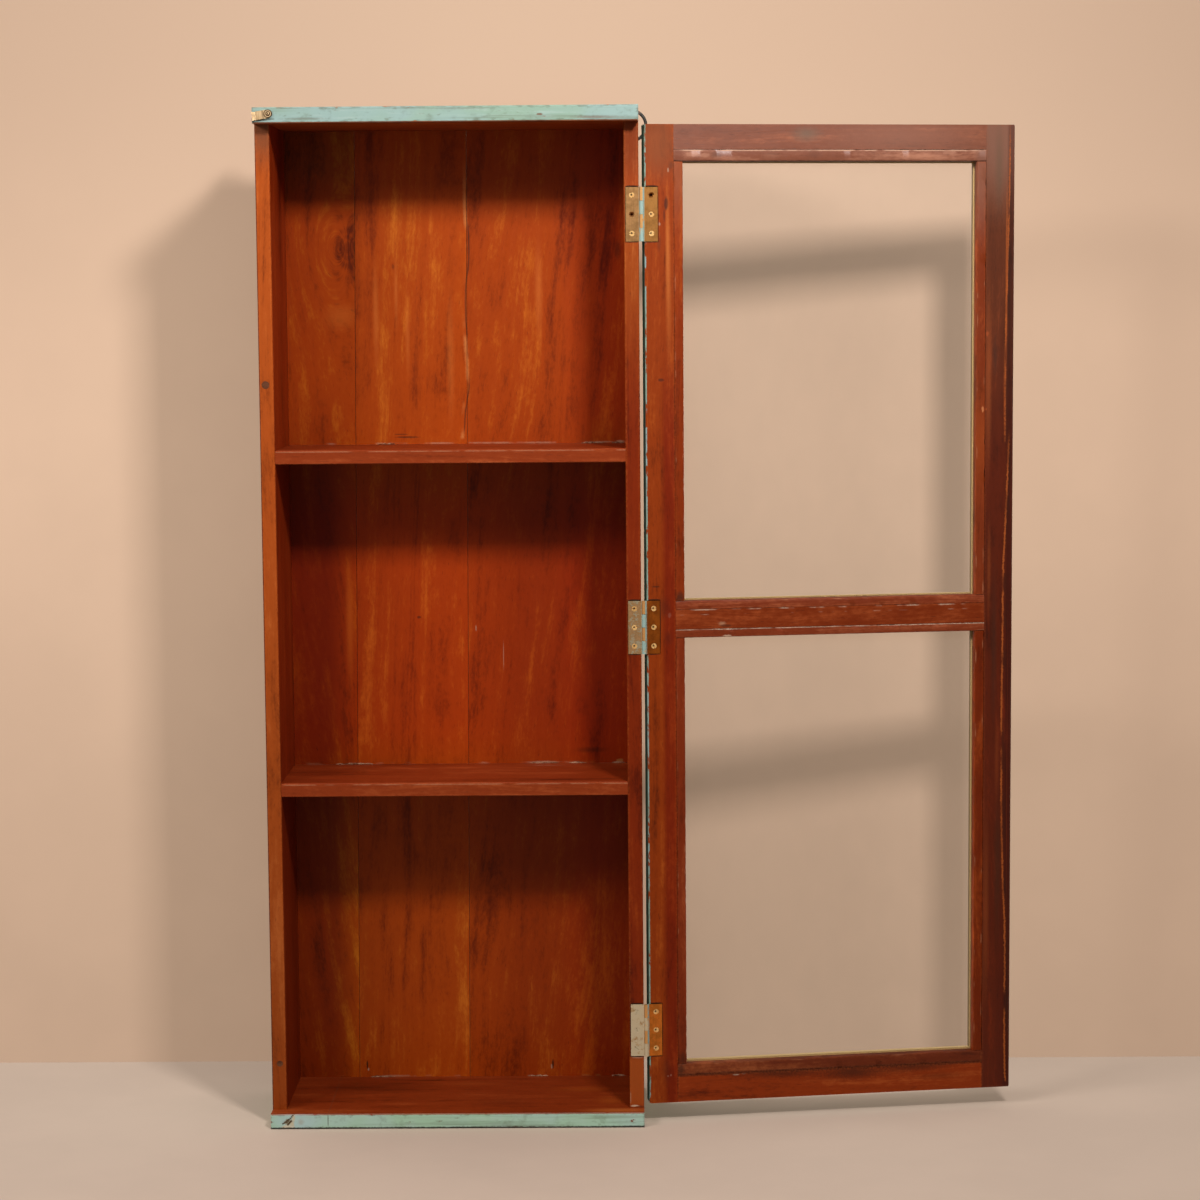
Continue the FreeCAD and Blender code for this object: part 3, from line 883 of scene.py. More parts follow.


# Paint of the outside, of the bottom board's front and of the upright pieces; raw wood, old filler, and a black used
# for dirt and for painted shade in gaps.
TEAL = WornPaint((0.24, 0.34, 0.26), (0.26, 0.36, 0.33), (0.38, 0.45, 0.41), (0.10, 0.10, 0.06), Grain.ALONG_X, 3.0)
MINT = WornPaint((0.43, 0.62, 0.42), (0.47, 0.63, 0.51), (0.56, 0.68, 0.57), (0.14, 0.15, 0.08), Grain.ALONG_X, 6.0)
TEAL_UP = replace(TEAL, grain=Grain.ALONG_Z, seed=14.0, wear=1.15, edge_reach=0.0055)
WEATHERED = RawWood((0.060, 0.036, 0.022), (0.20, 0.125, 0.075), Grain.ALONG_Z, 8.0)
FILLER: RGB = (0.42, 0.25, 0.16)
SHADE_AND_GRIME: RGB = (0.030, 0.010, 0.004)


def dress(node: str, material: bpy.types.Material) -> None:
    """Give a CAD node its finish.

    Args:
        node: Name of the node.
        material: The finish for all its faces.
    """
    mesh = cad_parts[node].data
    mesh.materials.clear()
    mesh.materials.append(material)
    log.info("dressed %s with %s", node, material.name)


def middles(node: str, apart: float = 0.008) -> tuple[Vector, ...]:
    """Find the middles of the separate small solids of a node.

    Args:
        node: Name of the node.
        apart: Points nearer than this to a solid's first point belong to it.

    Returns:
        The middle of each solid's box.
    """
    groups: list[list[Vector]] = []
    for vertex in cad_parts[node].data.vertices:
        for group in groups:
            if math.dist(vertex.co.xz, group[0].xz) < apart:
                group.append(vertex.co)
                break
        else:
            groups.append([vertex.co])
    return tuple(Vector([(min(c) + max(c)) * 0.5 for c in zip(*group)]) for group in groups)


def leaf_lines(middle: float = 0.2124, inner: float = 0.2045) -> tuple[Mark, ...]:
    """Dark lines round the mortises that the hinge leaves lie in: painted shade in the gaps round the leaves, strongest
    above them.

    Args:
        middle: X of the middle of a leaf.
        inner: X of the edge of a leaf that is away from the pin.

    Returns:
        The lines above, below and beside each leaf.
    """
    lines: list[Mark] = []
    for z in HINGES:
        lines.append(Spot((middle, z + 0.0318), (0.0092, 0.0013), SHADE_AND_GRIME, 0.95, 0.3))
        lines.append(Spot((middle, z - 0.0316), (0.0090, 0.0009), SHADE_AND_GRIME, 0.8, 0.3))
        lines.append(Spot((inner, z), (0.0009, 0.0322), SHADE_AND_GRIME, 0.75, 0.3))
    return tuple(lines)


class Bench:
    """One new mesh on the bench, shaped in edit mode with Blender's own operators."""

    @classmethod
    def block(cls, name: str, low: Triple, high: Triple) -> "Bench":
        """Start from a block.

        Args:
            name: Name of the piece.
            low: The block's lowest corner.
            high: Its highest corner.

        Returns:
            The bench with the block open for editing.
        """
        bpy.ops.object.select_all(action="DESELECT")
        bpy.ops.mesh.primitive_cube_add(size=1.0, location=[(a + b) * 0.5 for a, b in zip(low, high)],
                                        scale=[b - a for a, b in zip(low, high)])
        return cls(name)

    @classmethod
    def ball(cls, name: str, at: Triple, radius: float) -> "Bench":
        """Start from a ball.

        Args:
            name: Name of the piece.
            at: The ball's middle.
            radius: Its radius.

        Returns:
            The bench with the ball open for editing.
        """
        bpy.ops.object.select_all(action="DESELECT")
        bpy.ops.mesh.primitive_uv_sphere_add(segments=14, ring_count=10, radius=radius, location=at)
        return cls(name)

    def __init__(self, name: str) -> None:
        """Name the object just added, put its place into its mesh and open it for editing."""
        self.piece = bpy.context.object
        self.piece.name = self.piece.data.name = name
        bpy.ops.object.transform_apply(location=True, rotation=True, scale=True)
        bpy.ops.object.mode_set(mode="EDIT")

    def edges(self, test: Callable[[Vector, Vector], bool]) -> None:
        """Select the edges whose two ends pass a test."""
        bpy.ops.mesh.select_mode(type="EDGE")
        bpy.ops.mesh.select_all(action="DESELECT")
        mesh = bmesh.from_edit_mesh(self.piece.data)
        for edge in mesh.edges:
            edge.select_set(test(edge.verts[0].co, edge.verts[1].co))
        bmesh.update_edit_mesh(self.piece.data)

    def points(self, test: Callable[[Vector], bool]) -> None:
        """Select the points that pass a test."""
        bpy.ops.mesh.select_mode(type="VERT")
        bpy.ops.mesh.select_all(action="DESELECT")
        mesh = bmesh.from_edit_mesh(self.piece.data)
        for vertex in mesh.verts:
            vertex.select_set(test(vertex.co))
        mesh.select_flush_mode()
        bmesh.update_edit_mesh(self.piece.data)

    def stations(self, axis: int) -> list[float]:
        """The places along an axis at which points lie, in order."""
        mesh = bmesh.from_edit_mesh(self.piece.data)
        return sorted({round(vertex.co[axis], 5) for vertex in mesh.verts})

    def done(self) -> bpy.types.Object:
        """Close the mesh with smooth faces and sharp corners."""
        bpy.ops.object.mode_set(mode="OBJECT")
        bpy.ops.object.shade_smooth_by_angle(angle=math.radians(38.0))
        return self.piece


@dataclass
class WornBead:
    """A hand-planed glazing bead with a slanted sight edge, uneven faces and chipped corners.

    Fields give the node that it stands for, its box in the shut door, the way it runs, the side that its sight edge
    is on, a seed, how much of its length is chipped, how far it draws back from the pane's edge, the length between
    points, the widths of its slanted sight edge and of its other corner, the depths of its chips and how uneven it is.
    """

    node: str
    low: Triple
    high: Triple
    grain: Grain
    sight: float
    seed: int
    chipped: float = 0.16
    drawn_back: float = 0.00015
    spacing: float = 0.0035
    slant: float = 0.0015
    arris: float = 0.0004
    chips: Triple = (0.0002, 0.0004, 0.0003)
    uneven: float = 0.00007

    def build(self, material: bpy.types.Material) -> bpy.types.Object:
        """Model the bead shut, then swing it open with the door.

        Args:
            material: Its finish.

        Returns:
            The piece.
        """
        along, across = (0, 2) if self.grain is Grain.ALONG_X else (2, 0)
        low, high = list(self.low), list(self.high)
        if self.sight > 0:
            high[across] -= self.drawn_back
        else:
            low[across] += self.drawn_back
        sight, wall = (high[across], low[across]) if self.sight > 0 else (low[across], high[across])
        face = high[1]
        bench = Bench.block(self.node + ".worn", tuple(low), tuple(high))
        bench.edges(lambda a, b: abs(a[along] - b[along]) > 0.01)
        bpy.ops.mesh.subdivide(number_cuts=int((high[along] - low[along]) / self.spacing))
        for corner, width, rounds in ((sight, self.slant, 2), (wall, self.arris, 1)):
            bench.edges(lambda a, b: all(abs(p[1] - face) < 1e-5 and abs(p[across] - corner) < 1e-5 for p in (a, b)))
            bpy.ops.mesh.bevel(offset=width, segments=rounds, affect="EDGES")
        dice = random.Random(self.seed)
        stops = bench.stations(along)[1:-1]
        for corner, share, depth in zip((wall, wall, sight), (1.0, 0.4, 0.6), self.chips):
            chosen = {s for s in stops if dice.random() < self.chipped * share}
            bench.points(lambda p: p[1] > face - 0.0016 and abs(p[across] - corner) < 0.0016
                         and round(p[along], 5) in chosen)
            inward = [0.0, -depth, 0.0]
            inward[across] = depth if corner == low[across] else -depth
            bpy.ops.transform.translate(value=inward)
        bench.points(lambda p: p[1] > face - 0.0030)
        bpy.ops.transform.vertex_random(offset=self.uneven, uniform=1.0, normal=0.0, seed=self.seed)
        bench.points(lambda p: True)
        bpy.ops.transform.rotate(value=-DOOR_SWING, orient_axis="Z", center_override=(*DOOR_PIN, 0.0))
        piece = bench.done()
        piece.data.materials.append(material)
        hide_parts(self.node)
        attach(piece, "door")
        log.info("modelled %s", piece.name)
        return piece


@dataclass(frozen=True)
class OldFiller:
    """Pale putty pressed into the corners of the case long ago, cracked and dirty."""

    pale: RGB
    soil: RGB

    def material(self, name: str) -> bpy.types.Material:
        """Make the putty."""
        graph = Graph(name)
        place = Place(graph)
        cloud = place.noise(160.0, 3.0, 0.6)
        grit = place.noise(1500.0, 2.0)
        colour = graph.mix((cloud * 0.7 + grit * 0.3).step(0.42, 0.60), self.pale, self.soil)
        return graph.close(Surface(colour, 0.75 + (grit - 0.5) * 0.2, cloud * 0.4 + grit * 0.3), 0.5, 0.2)


@dataclass
class CornerFiller:
    """Lumps of filler along the joint of the back and the boards: places as X, height of the board and length."""

    y_back: float = 0.079
    radius: float = 0.0016
    uneven: float = 0.0006
    places: tuple[Triple, ...] = (
        (0.1935, 0.798, 0.016), (0.1640, 0.798, 0.030), (-0.0850, 0.798, 0.022), (0.1925, 0.408, 0.019),
        (0.1010, 0.408, 0.040), (0.1420, 0.408, 0.022), (-0.1300, 0.408, 0.050), (-0.1020, 0.018, 0.034),
        (0.0900, 0.018, 0.026), (0.1900, 0.018, 0.018),
    )

    def build(self) -> None:
        """Model the lumps, no two of them alike, each pressed into its corner."""
        finish = OldFiller((0.40, 0.21, 0.13), (0.16, 0.050, 0.020)).material("corner_filler_finish")
        for number, (x, z, length) in enumerate(self.places, 1):
            corner = (x, self.y_back, z)
            bench = Bench.ball(f"corner_filler.{number}", corner, self.radius)
            bpy.ops.mesh.select_all(action="SELECT")
            bpy.ops.transform.resize(value=(length / (2.0 * self.radius), 1.0, 0.8), center_override=corner)
            bpy.ops.transform.vertex_random(offset=self.uneven, uniform=1.0, normal=0.3, seed=number)
            for outward in ((0.0, 1.0, 0.0), (0.0, 0.0, -1.0)):
                bpy.ops.mesh.select_all(action="SELECT")
                bpy.ops.mesh.bisect(plane_co=corner, plane_no=outward, use_fill=True, clear_outer=True, threshold=1e-6)
            piece = bench.done()
            piece.data.materials.append(finish)
            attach(piece, "case")
            log.info("modelled %s", piece.name)


@dataclass
class Case:
    """The box: painted boards, polished sides and shelves, and three back planks.

    The torn corner of the bottom board is given as bare patches, with place, size and colour, and as splinters, with
    X and Z of both ends.
    """

    y_back: float = 0.079
    y_rear: float = 0.089
    z_floor: float = 0.018
    shelf_tops: Pair = (0.408, 0.798)
    torn: tuple[tuple[Pair, Pair, RGB], ...] = (
        ((-0.1990, 0.0086), (0.0060, 0.0042), (0.36, 0.30, 0.18)),
        ((-0.1932, 0.0130), (0.0022, 0.0050), (0.66, 0.55, 0.37)),
        ((-0.1995, 0.0030), (0.0078, 0.0030), (0.72, 0.60, 0.42)),
        ((-0.1950, 0.0062), (0.0030, 0.0030), (0.66, 0.55, 0.37)),
    )
    splinters: tuple[tuple[float, float, float, float], ...] = (
        (-0.2009, 0.0080, -0.1926, 0.0184), (-0.2055, 0.0066, -0.1990, 0.0118), (-0.2000, 0.0054, -0.1960, 0.0100),
    )

    def wood(self, name: str, teak: Teak, marks: tuple[Mark, ...] = (), paint: WornPaint | None = None,
             bare: Face | None = None, painted: Face | None = None, scars: tuple[Mark, ...] = ()) -> None:
        """Finish one wooden node.

        Args:
            name: The node.
            teak: Its wood.
            marks: Marks laid on the polished wood.
            paint: Paint, if it has some.
            bare: The only face left polished on a painted piece.
            painted: The only painted face of a polished piece.
            scars: Marks laid over the paint.
        """
        graph = Graph(name + "_finish")
        place = Place(graph)
        low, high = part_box(name)
        edge = place.edge(tuple(low), tuple(high))
        surface = polished(graph, place, teak, marks, edge, 0.0032)
        if paint is not None:
            axis, sign = bare or painted
            facing = (place.normal(axis) * sign).step(*((0.45, 0.80) if bare else (0.86, 0.98)))
            surface = paint.over(graph, place, surface, (1.0 - facing) if bare else facing, edge)
        tone = 0.85 + 0.4 * (teak.seed * 0.37 % 1.0)
        raw = replace(WEATHERED, seed=teak.seed, grain=teak.grain, dark=tuple(c * tone for c in WEATHERED.dark),
                      light=tuple(c * tone for c in WEATHERED.light))
        rear = place.ny.step(0.6, 0.9) * place.y.step(self.y_rear - 0.0050, self.y_rear - 0.0005)
        surface = marked(graph, place, raw.over(graph, place, surface, rear, edge), scars)
        dress(name, graph.close(surface, gloss=teak.gloss))

    def boards(self) -> None:
        """Finish the top and bottom boards."""
        red = Teak((0.06, 0.006, 0.001), (0.21, 0.026, 0.004), (0.34, 0.060, 0.012), Grain.ALONG_X, 2.0)
        # The top board's bare underside takes a lighter copy of the bottom board's teak, to stand in for light bounced
        # up onto it: painted light.
        underside_lit_teak = Teak((0.10, 0.017, 0.003), (0.33, 0.072, 0.012), (0.50, 0.150, 0.035), Grain.ALONG_X, 2.0)
        soil, brown, ice = (0.10, 0.075, 0.045), (0.15, 0.055, 0.025), (0.52, 0.63, 0.66)
        self.wood("top_board", underside_lit_teak, paint=TEAL, bare=("z", -1.0), scars=(
            # The row of dark spots along the front under the turn button, and the one at its left end, are painted
            # shadow of the button.
            *(Spot((-0.2195 + 0.0038 * i, 1.1741 + 0.0004 * i), (0.0034, 0.0011), (0.045, 0.045, 0.032),
                   0.75, 0.6, 0.3, face=FRONT) for i in range(7)),
            Spot((-0.2190, 1.1728), (0.0040, 0.0018), (0.06, 0.055, 0.035), 0.7, 0.8, 0.2, face=FRONT),
            Spot((0.1077, 1.1797), (0.0040, 0.0014), brown, 0.8),
            Spot((-0.1600, 1.1765), (0.0300, 0.0022), soil, 0.5, 1.0, 0.1),
            Spot((0.0200, 1.1870), (0.0500, 0.0018), soil, 0.35, 1.0, 0.1),
            Spot((0.1700, 1.1760), (0.0350, 0.0020), brown, 0.45, 1.1, 0.2),
        ))
        self.wood("bottom_board", red, (
            # The three orange spots towards the right are a painted streak of lamp light; the other three are uneven
            # tone.
            Spot((0.1450, 0.0160), (0.0450, 0.0150), (0.38, 0.070, 0.008), 0.40, 0.6, 0.0, axes="xy"),
            Spot((0.1800, -0.0350), (0.0220, 0.0240), (0.40, 0.080, 0.010), 0.40, 0.6, 0.0, axes="xy"),
            Spot((0.1900, -0.0780), (0.0550, 0.0120), (0.48, 0.125, 0.024), 0.60, 0.6, 0.0, axes="xy"),
            Spot((-0.1000, 0.0300), (0.0900, 0.0300), (0.07, 0.008, 0.001), 0.45, 0.8, 0.0, axes="xy"),
            Spot((0.0500, -0.0400), (0.0500, 0.0200), (0.10, 0.012, 0.002), 0.40, 0.8, 0.0, axes="xy"),
            Spot((0.0100, 0.0450), (0.0500, 0.0140), (0.32, 0.060, 0.010), 0.30, 0.8, 0.0, axes="xy"),
        ), paint=MINT, bare=("z", 1.0), scars=(
            Spot((-0.1880, 0.0095), (0.0360, 0.0120), ice, 0.55, 0.4, 0.3, face=FRONT),
            *(Spot(at, size, tan, 0.92, 1.0, 0.6, face=FRONT) for at, size, tan in self.torn),
            *(Spot((x0 + (x1 - x0) * i / 6.0, z0 + (z1 - z0) * i / 6.0), (0.0013, 0.0012), (0.085, 0.042, 0.018),
                   0.9, 1.0, face=FRONT) for x0, z0, x1, z1 in self.splinters for i in range(7)),
            Spot((-0.2050, 0.0012), (0.0045, 0.0012), (0.70, 0.58, 0.40), 0.8, 1.0),
            Spot((-0.1845, 0.0085), (0.0050, 0.0050), (0.44, 0.36, 0.27), 0.5, 1.0, 0.1, face=FRONT),
            Spot((-0.1525, 0.0105), (0.0007, 0.0085), soil, 0.7),
            # A dark line along the foot of the front: painted contact shadow where the board meets the floor.
            JointLine("z", 0.0008, 0.0018, (0.028, 0.014, 0.010), 0.92, 0.22),
            Spot((0.0800, 0.0030), (0.0700, 0.0020), soil, 0.4, 1.0, 0.1, face=FRONT),
        ))

    def sides(self) -> None:
        """Finish the two sides."""
        left = Teak((0.14, 0.019, 0.002), (0.38, 0.066, 0.007), (0.54, 0.125, 0.022), Grain.ALONG_Z, 5.0)
        right = Teak((0.10, 0.011, 0.001), (0.30, 0.046, 0.004), (0.47, 0.110, 0.018), Grain.ALONG_Z, 9.0)
        self.wood("left_side", left, (
            Faced("x", 1.0, (0.58, 0.31, 0.22)),
            Shade("x", -0.2181, -0.2196, (0.34, 0.26, 0.40)),
            Shade("z", 0.85, 0.10, (0.78, 0.78, 0.8)),
            # The dark spot at the top of the front edge is painted shadow under the top board.
            Spot((-0.2115, 1.1740), (0.0300, 0.0560), (0.150, 0.050, 0.020), 0.85, 0.4, 0.1, face=FRONT),
        ), TEAL_UP, painted=("x", -1.0))
        self.wood("right_side", right, (
            Shade("z", 0.85, 1.00, (1.0, 1.18, 1.35)),
            Shade("z", 1.10, 0.80, (0.62, 0.36, 0.16)),
            Spot((0.2124, HINGES[2] - 0.0330), (0.0085, 0.0008), (0.50, 0.28, 0.17), 0.75, 0.6, face=FRONT),
            # Darker at the top of the front edge, under the top board: painted shadow.
            Shade("z", 1.09, 1.14, (0.70, 0.75, 1.0)),
            Shade("z", 1.00, 1.09, (0.92, 0.74, 0.80)),
            Spot((0.2115, 0.0490), (0.0300, 0.0300), (0.42, 0.082, 0.012), 0.72, 0.15, 0.85, face=FRONT),
            Spot((0.2090, 0.0205), (0.0060, 0.0012), (0.62, 0.44, 0.30), 0.9, 0.8, face=FRONT),
            Spot((0.2150, 0.0195), (0.0060, 0.0010), (0.16, 0.035, 0.012), 0.8, 0.8, face=FRONT),
            Spot((0.2040, 0.0300), (0.0006, 0.0090), (0.50, 0.30, 0.18), 0.5, 1.0, face=FRONT),
        ) + leaf_lines(), TEAL_UP, painted=("x", 1.0))

    def shelves(self) -> None:
        """Finish the two shelves."""
        for name, seed in (("upper_shelf", 12.0), ("lower_shelf", 15.0)):
            teak = Teak((0.07, 0.007, 0.001), (0.22, 0.026, 0.004), (0.36, 0.062, 0.014), Grain.ALONG_X, seed)
            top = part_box(name)[1][2]
            self.wood(name, teak, (
                # The pale line along the front's top edge is a painted highlight, and the lighter, greyer front face is
                # painted sheen.
                JointLine("z", top - 0.0017, 0.0008, (0.46, 0.18, 0.09), 0.42, 0.44),
                Faced("y", -1.0, (1.08, 1.22, 1.3)),
                JointLine("y", 0.0770, 0.0010, FILLER, 0.35, 0.56),
                Spot((0.1050, 0.0600), (0.0260, 0.0010), FILLER, 0.5, 1.0, axes="xy"),
                Spot((-0.1600, -0.0400), (0.0300, 0.0080), (0.10, 0.012, 0.002), 0.35, 0.8, 0.0, axes="xy"),
            ))

    def back(self) -> None:
        """Finish the three back planks."""
        left = Teak((0.10, 0.010, 0.0003), (0.34, 0.042, 0.0008), (0.53, 0.128, 0.007), Grain.ALONG_Z, 21.0,
                    lean=0.10, lines=0.5, knots=(Knot(-0.1290, 1.0345, 0.008),))
        middle = Teak((0.16, 0.016, 0.0005), (0.37, 0.049, 0.0015), (0.57, 0.140, 0.010), Grain.ALONG_Z, 25.0,
                      lean=-0.06, lines=0.5)
        right = Teak((0.12, 0.011, 0.0004), (0.33, 0.041, 0.0012), (0.52, 0.118, 0.008), Grain.ALONG_Z, 29.0,
                     lean=-0.10, lines=0.5)
        lines = tuple(JointLine("z", z + 0.001, 0.0013, FILLER, 0.4, 0.58)
                      for z in (self.z_floor, *self.shelf_tops))
        seam = Seam(((0.8046, 0.0085), (0.8295, 0.0097), (0.8513, 0.0126), (0.8823, 0.0153), (0.9133, 0.0140),
                     (0.9319, 0.0130), (0.9628, 0.0118), (0.9937, 0.0131), (1.0121, 0.0158), (1.0368, 0.0167),
                     (1.0552, 0.0160), (1.0767, 0.0147), (1.1166, 0.0146)), SHADE_AND_GRIME, (0.62, 0.22, 0.06))
        glow, pale = (0.62, 0.17, 0.022), (0.56, 0.135, 0.020)
        self.wood("back_plank_left", left, lines + (
            Spot((-0.138, 0.952), (0.026, 0.020), glow, 0.22, 0.8, 0.0),
            Spot((-0.1335, 0.585), (0.0060, 0.095), pale, 0.6, 0.4, 0.0),
            # The next two tones darken the plank towards the left side: painted shade in the corner.
            Shade("x", -0.122, -0.165, (0.50, 0.34, 0.30), gate=("z", 0.90, 0.70)),
            Shade("x", -0.140, -0.200, (0.85, 0.75, 0.6), gate=("z", 0.80, 0.95)),
            Shade("z", 0.78, 0.70, (1.0, 0.74, 0.35), gate=("z", 0.38, 0.46)),
            Shade("z", 0.40, 0.34, (1.18, 1.36, 1.15)),
            # Darker at the top of the upper bay, under the top board: painted shade.
            Shade("z", 1.07, 1.14, (0.74, 0.95, 1.0)),
        ), scars=self.rust("back_plank_left"))
        self.wood("back_plank_middle", middle, lines + (
            Spot((-0.0962, 0.955), (0.0045, 0.075), pale, 0.45, 0.4, 0.0),
            Spot((-0.0716, 0.980), (0.0030, 0.050), pale, 0.40, 0.4, 0.0),
            Spot((-0.0583, 0.930), (0.0035, 0.060), pale, 0.35, 0.4, 0.0),
            Spot((-0.0070, 0.900), (0.0060, 0.090), pale, 0.35, 0.4, 0.0),
            Spot((-0.0745, 1.0113), (0.0020, 0.0045), SHADE_AND_GRIME, 0.45, 0.8, 0.2),
            Spot((-0.060, 0.8065), (0.0160, 0.0013), SHADE_AND_GRIME, 0.6),
            Spot((-0.068, 0.8100), (0.0100, 0.0009), SHADE_AND_GRIME, 0.5),
            Spot((-0.0492, 0.5880), (0.0028, 0.0019), SHADE_AND_GRIME, 0.6),
            Spot((-0.1205, 0.0330), (0.0012, 0.0060), SHADE_AND_GRIME, 0.85),
            Spot((-0.1192, 0.0275), (0.0010, 0.0022), FILLER, 0.8),
            seam,
            Shade("z", 0.78, 0.70, (1.0, 0.74, 0.7), gate=("z", 0.38, 0.46)),
        ), scars=self.rust("back_plank_middle"))
        self.wood("back_plank_right", right, lines + (
            seam,
            Spot((0.1000, 0.980), (0.0060, 0.070), pale, 0.40, 0.4, 0.0),
            Spot((0.1945, 1.030), (0.0060, 0.0160), SHADE_AND_GRIME, 0.5, 0.6, 0.1),
            Spot((0.1964, 0.7997), (0.0050, 0.0018), FILLER, 0.8),
            Spot((0.1760, 0.7993), (0.0120, 0.0011), FILLER, 0.6),
            Spot((0.0199, 0.5740), (0.0010, 0.0040), FILLER, 0.7),
            Spot((0.0530, 0.5410), (0.0007, 0.0180), FILLER, 0.6),
            Spot((0.1600, 0.4240), (0.0240, 0.0045), SHADE_AND_GRIME, 0.5, 0.6, 0.1),
            Spot((0.1020, 0.4095), (0.0200, 0.0013), FILLER, 0.7),
            Spot((0.1937, 0.4110), (0.0050, 0.0022), FILLER, 0.8),
            Spot((0.1085, 0.0330), (0.0013, 0.0062), SHADE_AND_GRIME, 0.85),
            Spot((0.1068, 0.0300), (0.0010, 0.0034), FILLER, 0.75),
            Shade("x", 0.010, 0.080, (0.78, 0.70, 0.7), gate=("z", 0.90, 0.70)),
            Shade("z", 0.78, 0.70, (1.0, 0.78, 0.72), gate=("z", 0.38, 0.46)),
            Shade("x", 0.11, 0.19, (0.95, 0.62, 0.5), gate=("z", 0.75, 0.85)),
            Shade("x", 0.10, 0.17, (1.0, 0.75, 0.35), gate=("z", 0.80, 0.72)),
        ), scars=self.rust("back_plank_right"))

    def rust(self, plank: str) -> tuple[Mark, ...]:
        """Rust that has run from the nails of a back plank."""
        low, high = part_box(plank)
        return tuple(Spot((nail.x, nail.z - 0.002), (0.0042, 0.0065), (0.045, 0.016, 0.007), 0.7, 0.9, 0.1, face=REAR)
                     for nail in middles("back_nails") if low[0] < nail.x < high[0])

    def small_parts(self) -> None:
        """Finish the plugs and nails."""
        plug = Teak((0.02, 0.006, 0.003), (0.10, 0.030, 0.012), (0.22, 0.08, 0.035), Grain.ALONG_X, 33.0, rough=0.6)
        self.wood("edge_plugs", plug)
        steel = ForgedIron((0.16, 0.14, 0.12), (0.14, 0.06, 0.03), 0.5)
        for name in ("case_nails", "back_nails"):
            dress(name, steel.material(name + "_finish"))

    def finish(self) -> None:
        """Finish every piece of the case."""
        self.boards()
        self.sides()
        self.shelves()
        self.back()
        self.small_parts()
        CornerFiller(self.y_back).build()


